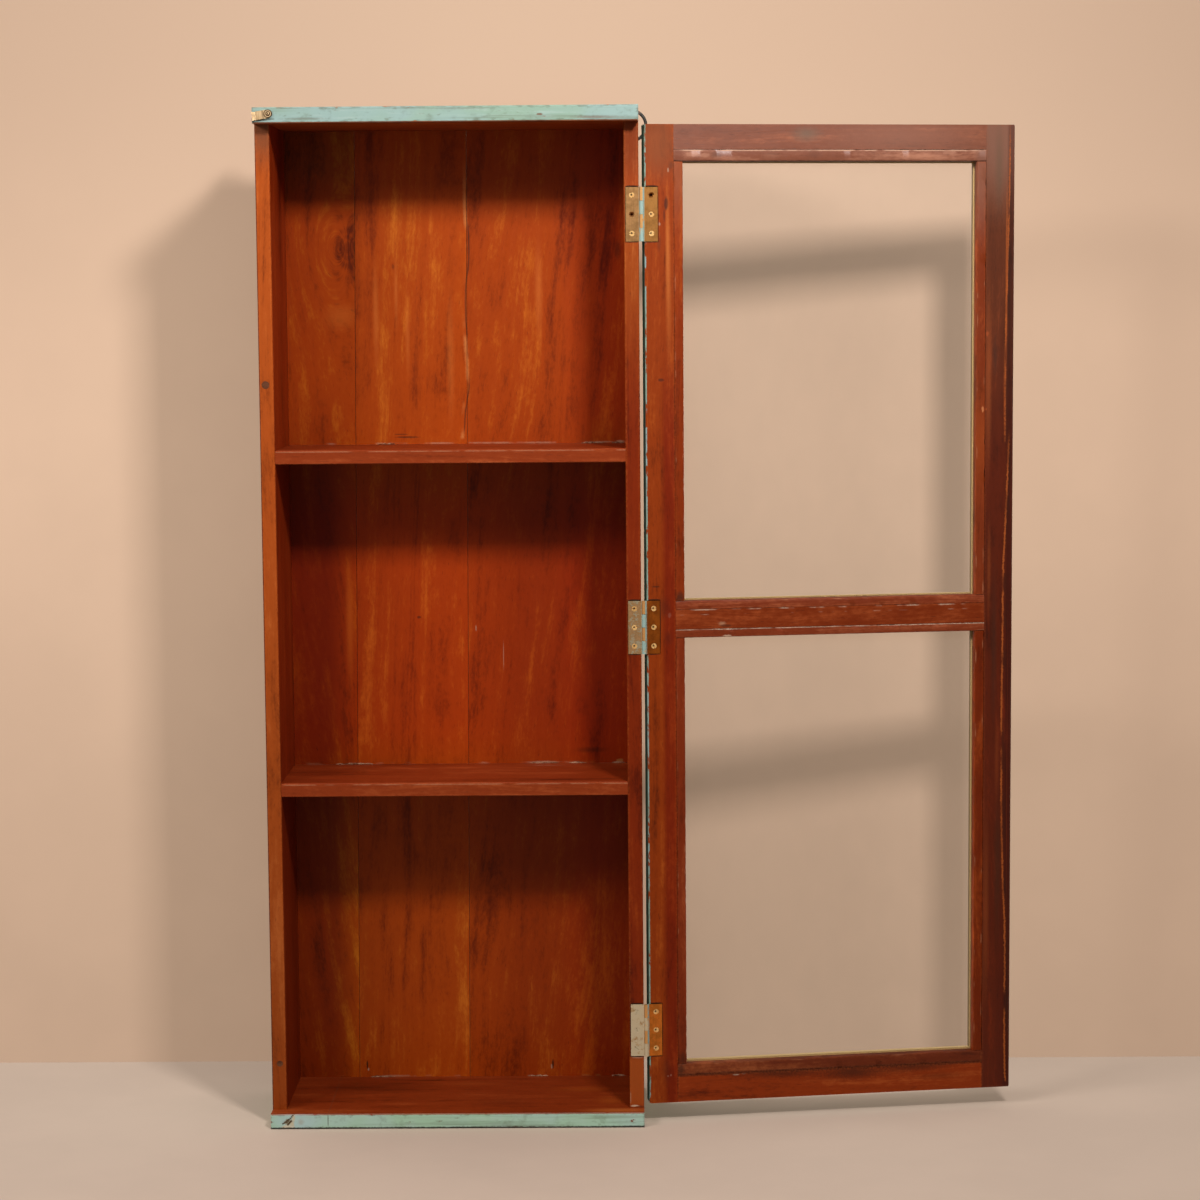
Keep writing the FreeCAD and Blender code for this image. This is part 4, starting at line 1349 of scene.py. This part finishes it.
@dataclass
class Door:
    """The glazed door: five frame pieces, two panes and their beads. Sizes are of the shut door.

    The rebate is the depth of the ledge that the panes lie on, and the rails are given by the heights of their edges.
    """

    hinge_edge: float = 0.220
    free_edge: float = -0.2185
    outer_face: float = -0.089
    inner_face: float = -0.069
    rebate: float = -0.083
    foot: float = 0.023
    head: float = 1.169
    stile: float = 0.034
    top_rail: float = 1.1405
    middle_rail: Pair = (0.58625, 0.60925)
    bottom_rail: float = 0.055
    ledge: RGB = (0.66, 0.42, 0.16)

    def wood(self, name: str, teak: Teak, low: Triple, high: Triple, marks: tuple[Mark, ...] = (),
             paint: WornPaint | None = None) -> bpy.types.Material:
        """Finish one wooden node of the door.

        Args:
            name: The node.
            teak: Its wood.
            low: Lowest corner of its box in the shut door.
            high: Highest corner.
            marks: Marks on the polished face.
            paint: Paint on every face but the inner one.

        Returns:
            The finish.
        """
        graph = Graph(name + "_finish")
        place = Place(graph, on_door=True)
        surface = polished(graph, place, teak, marks, place.edge(low, high), 0.0030)
        if paint is not None:
            surface = self.painted(name, graph, place, surface, paint)
        material = graph.close(surface, gloss=teak.gloss)
        dress(name, material)
        return material

    def painted(self, name: str, graph: Graph, place: Place, wood: Surface, paint: WornPaint) -> Surface:
        """Paint the outside of a frame piece, give the ledges beside the panes old yellow varnish lightened as painted
        light, and darken the hinge edge face as painted shade.

        Args:
            name: The node.
            graph: The material's graph.
            place: Where each point lies.
            wood: The bare piece.
            paint: The paint.

        Returns:
            The painted surface.
        """
        rim = place.x.step(self.free_edge + 0.0020, self.free_edge + 0.0010)
        for side, end, inward in ((place.x, self.hinge_edge, -0.001), (place.z, self.foot, 0.001),
                                  (place.z, self.head, -0.001)):
            rim = rim.most(side.step(end + 2.0 * inward, end + inward))
        outside = (1.0 - place.ny.step(0.25, 0.6)) * place.y.step(self.rebate + 0.0004, self.rebate - 0.0004).most(rim)
        lap = (place.x + place.ragged * 0.0012).step(self.hinge_edge - 0.0017, self.hinge_edge - 0.0011)
        surface = paint.over(graph, place, wood, outside.most(lap), place.edge(*self.shut_box(name)))
        # The ledge colour is old yellow varnish made lighter than it is, so that the ledges show as lit though they lie
        # in shade: partly painted light.
        reveal = (1.0 - rim) * place.ny.size().step(0.5, 0.3) * place.y.step(self.rebate + 0.0010, self.rebate + 0.0002)
        lip = place.y.step(self.rebate + 0.0020, self.rebate + 0.0010) * place.ny.step(0.5, 0.8)
        colour = graph.mix(reveal.most(lip) * (0.88 - place.ragged * 0.3), surface.colour, self.ledge)
        # The hinge edge face is darkened: painted shade in the narrow gap beside the case.
        gap = place.nx.step(0.5, 0.8) * place.y.step(self.inner_face - 0.0010, self.inner_face - 0.0022)
        return replace(surface, colour=graph.mix(gap, colour, (0.40, 0.36, 0.30), "MULTIPLY"))

    def frame_pieces(self) -> None:
        """Finish the stiles and rails."""
        y0, y1 = self.outer_face, self.inner_face
        near = self.hinge_edge - self.stile
        far = self.free_edge + self.stile
        hinge = Teak((0.08, 0.008, 0.0005), (0.25, 0.032, 0.0015), (0.42, 0.082, 0.008), Grain.ALONG_Z, 41.0)
        free = Teak((0.032, 0.009, 0.003), (0.135, 0.031, 0.009), (0.29, 0.066, 0.018), Grain.ALONG_Z, 44.0,
                    gloss=0.20, contrast=0.8)
        top = Teak((0.060, 0.0145, 0.004), (0.165, 0.038, 0.0105), (0.28, 0.072, 0.023), Grain.ALONG_X, 47.0,
                   gloss=0.45)
        middle = Teak((0.05, 0.006, 0.001), (0.175, 0.022, 0.003), (0.32, 0.060, 0.014), Grain.ALONG_X, 51.0,
                      gloss=0.09)
        bottom = Teak((0.08, 0.008, 0.001), (0.27, 0.032, 0.003), (0.43, 0.080, 0.014), Grain.ALONG_X, 55.0)
        orange, white, stain = (0.44, 0.105, 0.018), (0.50, 0.33, 0.23), (0.075, 0.014, 0.004)
        ends = tuple(JointLine("x", at, 0.0009, SHADE_AND_GRIME, 0.30, 0.44) for at in (near - 0.0003, far + 0.0003))
        self.wood("door_hinge_stile", hinge, (near, y0, self.foot), (self.hinge_edge, y1, self.head), (
            Spot((0.1935, 1.030), (0.0030, 0.080), (0.50, 0.135, 0.025), 0.55, 0.3, 0.0),
            Spot((0.1950, 1.0785), (0.0026, 0.0085), (0.05, 0.012, 0.006), 0.8),
            Spot((0.1972, 1.0650), (0.0014, 0.0080), (0.08, 0.015, 0.006), 0.55),
            Spot((0.1924, 1.1169), (0.0010, 0.0030), FILLER, 0.85),
            Spot((0.2028, 1.0553), (0.0014, 0.0020), FILLER, 0.6),
            Spot((0.1890, 1.1221), (0.0040, 0.0060), (0.09, 0.018, 0.007), 0.6, 0.7, 0.2),
            Spot((0.2020, 0.8765), (0.0040, 0.0020), (0.06, 0.012, 0.005), 0.7),
            Spot((0.2095, 0.6368), (0.0060, 0.0011), SHADE_AND_GRIME, 0.6),
            Spot((0.1934, 0.6030), (0.0022, 0.0035), FILLER, 0.35, 1.2),
            JointLine("x", near + 0.0003, 0.0008, SHADE_AND_GRIME, 0.35, 0.46),
            Spot((0.1925, 0.980), (0.0042, 0.110), (0.50, 0.125, 0.022), 0.45, 0.6, 0.0),
            Spot((0.2035, 1.0350), (0.0030, 0.014), (0.10, 0.020, 0.006), 0.5, 0.8, 0.2),
            Spot((0.2000, 0.6120), (0.0110, 0.016), (0.10, 0.018, 0.004), 0.55, 0.9, 0.1),
            Spot((0.1950, 0.5760), (0.0070, 0.012), (0.10, 0.018, 0.004), 0.5, 0.9, 0.1),
            Spot((0.1990, 0.0620), (0.0080, 0.020), (0.09, 0.018, 0.005), 0.5, 0.8, 0.0),
            Spot((0.1945, 0.0560), (0.0012, 0.0016), FILLER, 0.7),
            Spot((0.1980, 0.0550), (0.0010, 0.0013), FILLER, 0.6),
            Shade("x", 0.2045, 0.1960, (0.72, 0.42, 0.40), gate=("z", 0.95, 0.80)),
            # A light brown patch at the top of the stile: painted sheen, as the lamps' haze on the top of the door.
            Spot((0.2030, 1.1500), (0.0300, 0.0550), (0.20, 0.058, 0.018), 0.65, 0.5, 0.2),
        ) + leaf_lines(), TEAL_UP)
        self.wood("door_free_stile", free, (self.free_edge, y0, self.foot), (far, y1, self.head), (
            # This first spot is painted sheen: a light grey haze over the top of the stile.
            Spot((-0.2000, 1.1700), (0.0400, 0.115), (0.200, 0.086, 0.053), 0.85, 0.3, 0.25),
            Spot((-0.2000, 1.1200), (0.0070, 0.060), (0.110, 0.062, 0.034), 0.55, 0.4, 0.0),
            Spot((-0.2096, 0.985), (0.0017, 0.125), orange, 0.8, 0.7, 0.3),
            Spot((-0.2075, 0.860), (0.0012, 0.060), (0.36, 0.10, 0.02), 0.5, 0.9, 0.3),
            Spot((-0.2135, 0.330), (0.0006, 0.330), (0.40, 0.15, 0.04), 0.55, 0.9, 0.3),
            Spot((-0.1866, 0.9265), (0.0018, 0.0035), (0.48, 0.11, 0.035), 0.75, 0.9),
            Spot((-0.1854, 0.8380), (0.0010, 0.0013), (0.50, 0.15, 0.05), 0.9),
            Spot((-0.2132, 0.0480), (0.0011, 0.0013), (0.50, 0.22, 0.06), 0.9),
            # The next two tones darken and redden the stile below its top, leaving the top light: painted sheen.
            Shade("z", 1.13, 1.00, (0.72, 0.62, 0.50)),
            Shade("z", 0.98, 0.75, (0.98, 0.52, 0.12)),
            Shade("x", -0.1990, -0.2060, (0.90, 0.85, 0.85), gate=("z", 0.75, 0.60)),
            Shade("x", -0.2085, -0.2130, (0.58, 0.50, 0.50)),
            Spot((-0.1885, 0.870), (0.0045, 0.130), (0.30, 0.062, 0.012), 0.55, 0.6, 0.0),
            Spot((-0.1965, 0.560), (0.0050, 0.120), (0.040, 0.011, 0.004), 0.55, 0.6, 0.0),
            Spot((-0.1900, 0.650), (0.0030, 0.070), (0.26, 0.050, 0.008), 0.45, 0.8, 0.0),
            Spot((-0.2025, 0.290), (0.0060, 0.110), (0.038, 0.013, 0.004), 0.55, 0.6, 0.0),
            Spot((-0.1885, 0.240), (0.0045, 0.140), (0.24, 0.046, 0.007), 0.50, 0.6, 0.0),
            Spot((-0.1960, 0.900), (0.0045, 0.030), (0.040, 0.014, 0.007), 0.55, 0.9, 0.0),
            Spot((-0.2010, 0.420), (0.0035, 0.060), (0.22, 0.036, 0.005), 0.45, 0.8, 0.0),
            *self.rubbed(),
        ), TEAL_UP)
        self.wood("door_top_rail", top, (far, y0, self.top_rail), (near, y1, self.head), ends + (
            Spot((0.030, 1.1580), (0.022, 0.011), (0.115, 0.066, 0.036), 0.7, 0.5, 0.0),
            # The wide light patch over the middle of the rail is painted sheen.
            Spot((-0.085, 1.1560), (0.120, 0.030), (0.27, 0.105, 0.060), 0.45, 0.4, 0.0),
        ), TEAL)
        under, upper = self.middle_rail
        self.wood("door_middle_rail", middle, (far, y0, under), (near, y1, upper), ends + (
            JointLine("z", 0.6086, 0.0008, white, 0.8, 0.56),
            JointLine("z", 0.6030, 0.0007, white, 0.6, 0.62),
            Spot((0.1310, 0.5920), (0.0055, 0.0030), (0.42, 0.22, 0.12), 0.6, 0.9, 0.2),
            Spot((0.1270, 0.5893), (0.0080, 0.0020), (0.04, 0.010, 0.004), 0.6, 0.9),
        ), TEAL)
        self.wood("door_bottom_rail", bottom, (far, y0, self.foot), (near, y1, self.bottom_rail), ends + (
            Spot((0.1160, 0.0533), (0.0045, 0.0012), white, 0.85, 0.9),
            Spot((0.1070, 0.0540), (0.0035, 0.0010), white, 0.6, 1.0),
            Spot((0.0090, 0.0560), (0.0030, 0.0018), white, 0.7, 0.9),
            Spot((-0.0300, 0.0480), (0.110, 0.0090), (0.13, 0.016, 0.002), 0.5, 0.9, 0.0),
            Spot((-0.1300, 0.0400), (0.040, 0.0060), (0.12, 0.016, 0.002), 0.5, 0.9, 0.0),
            Spot((0.0600, 0.0525), (0.070, 0.0075), stain, 0.80, 0.9, 0.0),
            Spot((-0.0250, 0.0505), (0.045, 0.0130), stain, 0.85, 0.9, 0.0),
            Spot((-0.1000, 0.0530), (0.065, 0.0075), stain, 0.80, 0.9, 0.0),
            JointLine("z", 0.0546, 0.0016, stain, 0.85, 0.25),
        ), TEAL)

    def rubbed(self) -> tuple[Mark, ...]:
        """The streaks rubbed bare up the free stile, with dirt between them and the outer edge."""
        orange, dirt = (0.40, 0.088, 0.012), (0.020, 0.007, 0.003)
        low = ((0.030, 0.0043), (0.118, 0.0064), (0.175, 0.0062), (0.284, 0.0096), (0.418, 0.0120), (0.495, 0.0120),
               (0.569, 0.0113), (0.633, 0.0113), (0.682, 0.0096), (0.726, 0.0078), (0.790, 0.0055))
        high = ((0.800, 0.0098), (0.905, 0.0098), (1.006, 0.0078), (1.111, 0.0059), (1.150, 0.0056))
        streaks = ((low, 0.0010, (0.85, 0.40)), (high, 0.0008, (0.70, 0.30)))
        return tuple(Seam(tuple((z, self.free_edge + away) for z, away in points), orange, dirt, width, shown,
                          (0.30, 0.56), 5.0) for points, width, shown in streaks)

    def beads(self) -> None:
        """Finish the glazing beads and their pins."""
        colours = {
            "upper_bead_top": ((0.065, 0.018, 0.008), (0.195, 0.056, 0.026), (0.40, 0.16, 0.09)),
            "upper_bead_bottom": ((0.05, 0.008, 0.002), (0.18, 0.026, 0.006), (0.38, 0.095, 0.034)),
            "upper_bead_hinge_side": ((0.08, 0.008, 0.001), (0.225, 0.026, 0.002), (0.38, 0.066, 0.008)),
            "upper_bead_free_side": ((0.05, 0.007, 0.001), (0.18, 0.026, 0.005), (0.34, 0.065, 0.014)),
            "lower_bead_top": ((0.06, 0.010, 0.003), (0.21, 0.033, 0.009), (0.42, 0.115, 0.045)),
            "lower_bead_bottom": ((0.045, 0.009, 0.003), (0.16, 0.027, 0.007), (0.34, 0.085, 0.024)),
            "lower_bead_hinge_side": ((0.07, 0.008, 0.001), (0.20, 0.024, 0.004), (0.36, 0.070, 0.018)),
            "lower_bead_free_side": ((0.05, 0.005, 0.0003), (0.15, 0.016, 0.001), (0.31, 0.050, 0.006)),
        }
        pale, soiled = (0.40, 0.17, 0.10), (0.07, 0.020, 0.009)
        bead_marks_and_painted_light: dict[str, tuple[Mark, ...]] = {"upper_bead_top": (
            Spot((0.1632, 1.1348), (0.0085, 0.0036), pale, 0.6, 1.0),
            Spot((0.1489, 1.1337), (0.0060, 0.0030), pale, 0.5, 1.0),
            Spot((0.1358, 1.1337), (0.0090, 0.0045), soiled, 0.5, 0.8, 0.2),
            Spot((0.0720, 1.1330), (0.0160, 0.0050), pale, 0.22, 1.0, 0.0),
            Spot((0.0200, 1.1340), (0.0120, 0.0050), soiled, 0.30, 1.0, 0.0),
            Spot((-0.060, 1.1330), (0.0240, 0.0055), pale, 0.22, 1.0, 0.0),
            Spot((-0.140, 1.1370), (0.0090, 0.0030), pale, 0.55, 1.0),
            JointLine("z", 1.1392, 0.0009, (0.50, 0.27, 0.17), 0.85, 0.42),
            Spot((0.1830, 1.1335), (0.0110, 0.0100), (0.17, 0.040, 0.014), 0.85, 0.5, 0.5),
            Spot((-0.1810, 1.1335), (0.0110, 0.0100), (0.19, 0.070, 0.040), 0.8, 0.5, 0.4),
            # Darker along the lower edge of the top bead: painted shade under it.
            Shade("z", 1.1290, 1.1272, (0.35, 0.26, 0.22)),
        ), "upper_bead_free_side": (
            # The light haze at the top of the bead is painted sheen.
            Spot((-0.1790, 1.1250), (0.0300, 0.100), (0.22, 0.085, 0.050), 0.75, 0.3, 0.2),
            Spot((-0.1790, 0.8000), (0.0140, 0.080), (0.30, 0.050, 0.006), 0.55, 0.6, 0.0),
            Spot((-0.1815, 0.8380), (0.0016, 0.0040), (0.52, 0.17, 0.06), 0.8, 1.0),
        ), "upper_bead_hinge_side": (
            # The light patch at the top of the bead is painted sheen.
            Spot((0.1805, 1.1250), (0.0300, 0.085), (0.27, 0.078, 0.032), 0.60, 0.3, 0.1),
            Spot((0.1805, 0.6230), (0.0080, 0.0090), (0.045, 0.013, 0.006), 0.75, 0.8, 0.2),
        ), "lower_bead_top": (
            JointLine("z", 0.5857, 0.0009, (0.62, 0.45, 0.34), 0.9, 0.40),
            Spot((0.1250, 0.5775), (0.0060, 0.0012), (0.62, 0.42, 0.28), 0.7, 1.0),
        ), "lower_bead_bottom": (
            Shade("x", 0.120, 0.060, (0.82, 0.75, 0.72)),
            JointLine("z", 0.0557, 0.0017, (0.085, 0.016, 0.005), 0.85, 0.25),
            Spot((0.1830, 0.0620), (0.0070, 0.0080), (0.05, 0.013, 0.005), 0.7, 0.8, 0.2),
        ), "lower_bead_hinge_side": (
            Spot((0.1800, 0.0740), (0.0070, 0.012), (0.05, 0.013, 0.005), 0.6, 0.8, 0.2),
        )}
        for number, (name, woods) in enumerate(colours.items()):
            low, high = self.shut_box(name)
            grain = Grain.ALONG_Z if name.endswith("_side") else Grain.ALONG_X
            wood = Teak(*woods, grain, 61.0 + 2.0 * number, gloss=0.45 if name == "upper_bead_top" else Teak.gloss)
            finish = self.wood(name, wood, low, high, self.bead_wear_and_painted_light(grain, low, high) + bead_marks_and_painted_light.get(name, ()))
            side = -1.0 if name.endswith(("_top", "_hinge_side")) else 1.0
            WornBead(name, low, high, grain, side, number + 3).build(finish)
        dress("bead_pins", ForgedIron((0.10, 0.09, 0.08), (0.12, 0.05, 0.025), 0.5).material("bead_pins_finish"))

    def bead_wear_and_painted_light(self, grain: Grain, low: Triple, high: Triple) -> tuple[Mark, ...]:
        """Dirt and pale bare specks along a bead's two long edges, and painted light on an upright bead's slanted sight
        face, made about twice as light.

        Args:
            grain: The way the bead runs.
            low: Lowest corner of its box.
            high: Highest corner.

        Returns:
            The marks.
        """
        letter, index = ("z", 2) if grain is Grain.ALONG_X else ("x", 0)
        bare = (0.46, 0.20, 0.10)
        marks: list[Mark] = []
        for at, inward in ((low[index], 1.0), (high[index], -1.0)):
            marks.append(JointLine(letter, at + inward * 0.0003, 0.0007, SHADE_AND_GRIME, 0.30, 0.50))
            marks.append(JointLine(letter, at + inward * 0.0014, 0.0007, bare, 0.45, 0.64))
        # The sight face of an upright bead is lightened: painted light on a face that lies in shade.
        if grain is Grain.ALONG_Z:
            marks.append(Faced("x", 1.0 if at < 0 else -1.0, (1.9, 2.0, 2.2)))
        return tuple(marks)

    def shut_box(self, name: str) -> tuple[Triple, Triple]:
        """The box that a door node fills when the door is shut."""
        back = Matrix.Rotation(-DOOR_SWING, 3, "Z")
        pin = Vector((*DOOR_PIN, 0.0))
        spots = [back @ (v.co - pin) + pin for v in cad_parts[name].data.vertices]
        low = tuple(min(s[i] for s in spots) for i in range(3))
        high = tuple(max(s[i] for s in spots) for i in range(3))
        return low, high

    def glazing(self) -> None:
        """Finish the two panes."""
        for name in ("upper_glass", "lower_glass"):
            low, high = self.shut_box(name)
            glass = OldGlass((0.52, 0.50, 0.44)).material(name + "_finish", (low[0], low[2]), (high[0], high[2]))
            dress(name, glass)

    def finish(self) -> None:
        """Finish every piece of the door."""
        self.frame_pieces()
        self.beads()
        self.glazing()


@dataclass
class Fittings:
    """Hinges and their screws, the turn button, and the iron hanging rings.

    Fields give the paint on the brass, the height below which it covers the case's screws, and X and Z of the button.
    """

    paint: RGB = (0.27, 0.38, 0.33)
    covered: float = 0.20
    button: Pair = (-0.2013, 1.1825)

    def hinges(self) -> None:
        """Finish the three hinges, each worn in its own way."""
        dull, bronze = (0.33, 0.18, 0.06), (0.12, 0.065, 0.028)
        looks = {
            "hinge_top_case_leaf": AgedBrass((0.48, 0.25, 0.098), (0.29, 0.15, 0.056), self.paint, 1.0,
                                             knuckle_paint=0.75),
            "hinge_top_door_leaf": AgedBrass((0.36, 0.160, 0.044), (0.24, 0.105, 0.028), self.paint, 2.0,
                                             knuckle_paint=0.6, half_painted=True),
            "hinge_middle_case_leaf": AgedBrass((0.60, 0.36, 0.18), (0.40, 0.23, 0.09), self.paint, 3.0, 0.13, 0.9),
            "hinge_middle_door_leaf": AgedBrass((0.27, 0.070, 0.010), (0.36, 0.095, 0.012), self.paint, 4.0,
                                                knuckle_paint=0.9, half_painted=True),
            "hinge_bottom_case_leaf": AgedBrass((0.50, 0.33, 0.16), dull, (0.55, 0.41, 0.245), 5.0, 0.50, 0.8),
            "hinge_bottom_door_leaf": AgedBrass((0.66, 0.20, 0.030), (0.45, 0.15, 0.024), self.paint, 6.0,
                                                knuckle_paint=0.5, half_painted=True),
        }
        for name, brass in looks.items():
            dress(name, brass.material(name + "_finish", DOOR_PIN))
        pins = AgedBrass(dull, bronze, self.paint, 7.0, 0.2)
        for name in ("hinge_top_pin", "hinge_middle_pin", "hinge_bottom_pin"):
            dress(name, pins.material(name + "_finish"))
        screws = AgedBrass((0.95, 0.58, 0.22), (0.70, 0.38, 0.12), (0.50, 0.42, 0.28), 8.0, rough=0.34, metal=0.5)
        painted = replace(screws, covered=self.covered)
        for name, brass in (("case_hinge_screws", painted), ("door_hinge_screws", screws)):
            heads = tuple((head.x - 0.0004, head.z + 0.0004) for head in middles(name)
                          if head.z > self.covered or brass is screws)
            dress(name, brass.material(name + "_finish", heads=heads))

    def turn_button(self) -> None:
        """Finish the turn button, its washer and its screw."""
        brass = AgedBrass((0.62, 0.44, 0.25), (0.44, 0.29, 0.15), self.paint, 9.0, 0.04, rough=0.56, boss=self.button)
        for name in ("turn_button", "turn_button_washer", "turn_button_screw"):
            dress(name, brass.material(name + "_finish"))

    def rings(self) -> None:
        """Finish the hanging rings and their staples."""
        iron = ForgedIron((0.045, 0.040, 0.036), (0.11, 0.045, 0.020))
        for name in ("left_hanger_ring", "right_hanger_ring", "left_hanger_staple", "right_hanger_staple"):
            dress(name, iron.material(name + "_finish"))

    def finish(self) -> None:
        """Finish every fitting."""
        self.hinges()
        self.turn_button()
        self.rings()


@dataclass(frozen=True)
class Lamp:
    """A soft light: where it hangs, what it points at, its power, width, height and beam in degrees."""

    name: str
    at: Triple
    aim: Triple
    power: float
    width: float
    height: float
    beam: float = 180.0

    def hang(self) -> None:
        """Hang the lamp, out of the camera's sight."""
        data = bpy.data.lights.new(self.name, "AREA")
        data.shape = "RECTANGLE"
        data.size = self.width
        data.size_y = self.height
        data.spread = math.radians(self.beam)
        data.energy = self.power
        lamp = bpy.data.objects.new(self.name, data)
        bpy.context.scene.collection.objects.link(lamp)
        lamp.location = self.at
        aim = Vector(self.aim) - Vector(self.at)
        lamp.rotation_euler = aim.to_track_quat("-Z", "Y").to_euler()
        lamp.visible_camera = False


@dataclass
class Studio:
    """Pale floor, a backdrop with painted shade towards its top and a faint glow, three soft lamps, an even fill and
    the camera.

    The camera is given by its place, its focal length and its picture's width in pixels, and its turns in radians.
    """

    camera_at: Triple = (0.2028, -3.4382, 0.9557)
    focal: float = 2912.8
    picture: float = 1200.0
    sensor: float = 36.0
    yaw: float = -0.0091
    pitch: float = -0.0987
    roll: float = -0.0076
    wall_y: float = 0.2255
    lamps: tuple[Lamp, ...] = (
        Lamp("key", (0.77, -1.60, 2.04), (0.10, 0.0, 1.25), 14.0, 0.26, 0.26, 110.0),
        Lamp("soft_left", (-1.75, -1.62, 2.03), (0.0, 0.0, 1.20), 15.5, 1.20, 0.35, 120.0),
        Lamp("overhead", (0.20, -0.90, 2.90), (0.20, 0.0, 0.40), 8.0, 1.50, 1.50),
    )
    floor_colour: RGB = (0.62, 0.47, 0.37)
    wall_colour: RGB = (0.60, 0.40, 0.275)

    def camera(self) -> None:
        """Stand the camera where the photograph was taken from."""
        forward = Vector((math.sin(self.yaw) * math.cos(self.pitch), math.cos(self.yaw) * math.cos(self.pitch),
                          math.sin(self.pitch)))
        right = Vector((math.cos(self.yaw), -math.sin(self.yaw), 0.0))
        up = right.cross(forward)
        tilted = right * math.cos(self.roll) + up * math.sin(self.roll)
        upright = up * math.cos(self.roll) - right * math.sin(self.roll)
        turn = Matrix((tilted, upright, -forward)).transposed()
        data = bpy.data.cameras.new("camera")
        data.sensor_width = self.sensor
        data.lens = self.focal / self.picture * self.sensor
        camera = bpy.data.objects.new("camera", data)
        bpy.context.scene.collection.objects.link(camera)
        camera.matrix_world = Matrix.Translation(self.camera_at) @ turn.to_4x4()
        bpy.context.scene.camera = camera

    def fill(self) -> None:
        """Give the room an even light, weaker from the front, and a pale background."""
        world = bpy.data.worlds.new("room")
        world.use_nodes = True
        bpy.context.scene.world = world
        nodes, links = world.node_tree.nodes, world.node_tree.links
        sky = nodes["Background"]
        sky.inputs["Color"].default_value = (1.0, 0.94, 0.87, 1.0)
        where, split, level, path, seen, also, pale = (nodes.new("ShaderNode" + kind) for kind in (
            "TexCoord", "SeparateXYZ", "MapRange", "LightPath", "Math", "Math", "Mix"))
        for name, value in {"From Min": -0.35, "From Max": 0.45, "To Min": 0.26, "To Max": 0.70}.items():
            level.inputs[name].default_value = value
        seen.operation = also.operation = "MAXIMUM"
        pale.inputs["B"].default_value = 0.42
        for source, target in (
            (where.outputs["Generated"], split.inputs[0]), (split.outputs["Y"], level.inputs["Value"]),
            (path.outputs["Is Camera Ray"], seen.inputs[0]), (path.outputs["Is Glossy Ray"], also.inputs[0]),
            (path.outputs["Is Transmission Ray"], also.inputs[1]), (also.outputs[0], seen.inputs[1]),
            (seen.outputs[0], pale.inputs["Factor"]), (level.outputs["Result"], pale.inputs["A"]),
            (pale.outputs["Result"], sky.inputs["Strength"]),
        ):
            links.new(source, target)

    def sheet(self, name: str, corner: Triple, across: Triple, up: Triple, colour: RGB,
              one_sided: bool) -> bpy.types.Object:
        """A flat sheet of the studio.

        Args:
            name: Its name.
            corner: One corner.
            across: Edge from that corner.
            up: The other edge from it.
            colour: Its plain colour.
            one_sided: True if it can't be seen from behind.

        Returns:
            The sheet.
        """
        a, b, c = Vector(corner), Vector(across), Vector(up)
        mesh = bpy.data.meshes.new(name)
        mesh.from_pydata([a, a + b, a + b + c, a + c], [], [(0, 1, 2, 3)])
        sheet = bpy.data.objects.new(name, mesh)
        bpy.context.scene.collection.objects.link(sheet)
        graph = Graph(name + "_matt")
        place = Place(graph)
        mottle = place.noise(4.0, 4.0, 0.6)
        tint = graph.mix(mottle.step(0.35, 0.65), colour, tuple(v * 0.96 for v in colour))
        graph.put(graph.shader.inputs["Base Color"], tint)
        graph.shader.inputs["Roughness"].default_value = 0.9
        if one_sided:
            # The backdrop darkens towards its top: painted shade.
            tint = graph.mix(place.z.step(0.70, 1.40), tint, tuple(v * 0.70 for v in colour))
            graph.put(graph.shader.inputs["Base Color"], tint)
            behind = graph.node("NewGeometry", {}).outputs["Backfacing"]
            clear = graph.node("BsdfTransparent", {}).outputs[0]
            both = graph.node("MixShader", {0: behind, 1: graph.shader.outputs[0], 2: clear})
            graph.put(graph.tree.nodes["Material Output"].inputs["Surface"], both.outputs[0])
            sheet.visible_shadow = False
            # The backdrop glows faintly, lightening the shadows on it: painted light.
            graph.put(graph.shader.inputs["Emission Color"], tint)
            graph.shader.inputs["Emission Strength"].default_value = 0.28
        mesh.materials.append(graph.material)
        sheet.visible_diffuse = False
        log.info("set up %s", name)
        return sheet

    def build(self) -> None:
        """Set up the whole studio."""
        bpy.context.scene.view_settings.view_transform = "Standard"
        self.sheet("floor", (-6.0, -6.0, 0.0), (12.0, 0.0, 0.0), (0.0, 12.0, 0.0), self.floor_colour, False)
        self.sheet("backdrop", (-1.6, self.wall_y, 0.0), (3.6, 0.0, 0.0), (0.0, 0.0, 2.6), self.wall_colour, True)
        for lamp in self.lamps:
            lamp.hang()
        self.fill()
        self.camera()


def write_size() -> None:
    """Update the scene's view layer."""
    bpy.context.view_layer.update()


def main() -> None:
    """Build and finish the cabinet, piece by piece."""
    logging.basicConfig(level=logging.INFO, format="%(message)s")
    Studio().build()
    for part in (Case(), Door(), Fittings()):
        part.finish()
        log.info("finished %s", type(part).__name__)
    write_size()


if __name__ == "__main__":
    main()
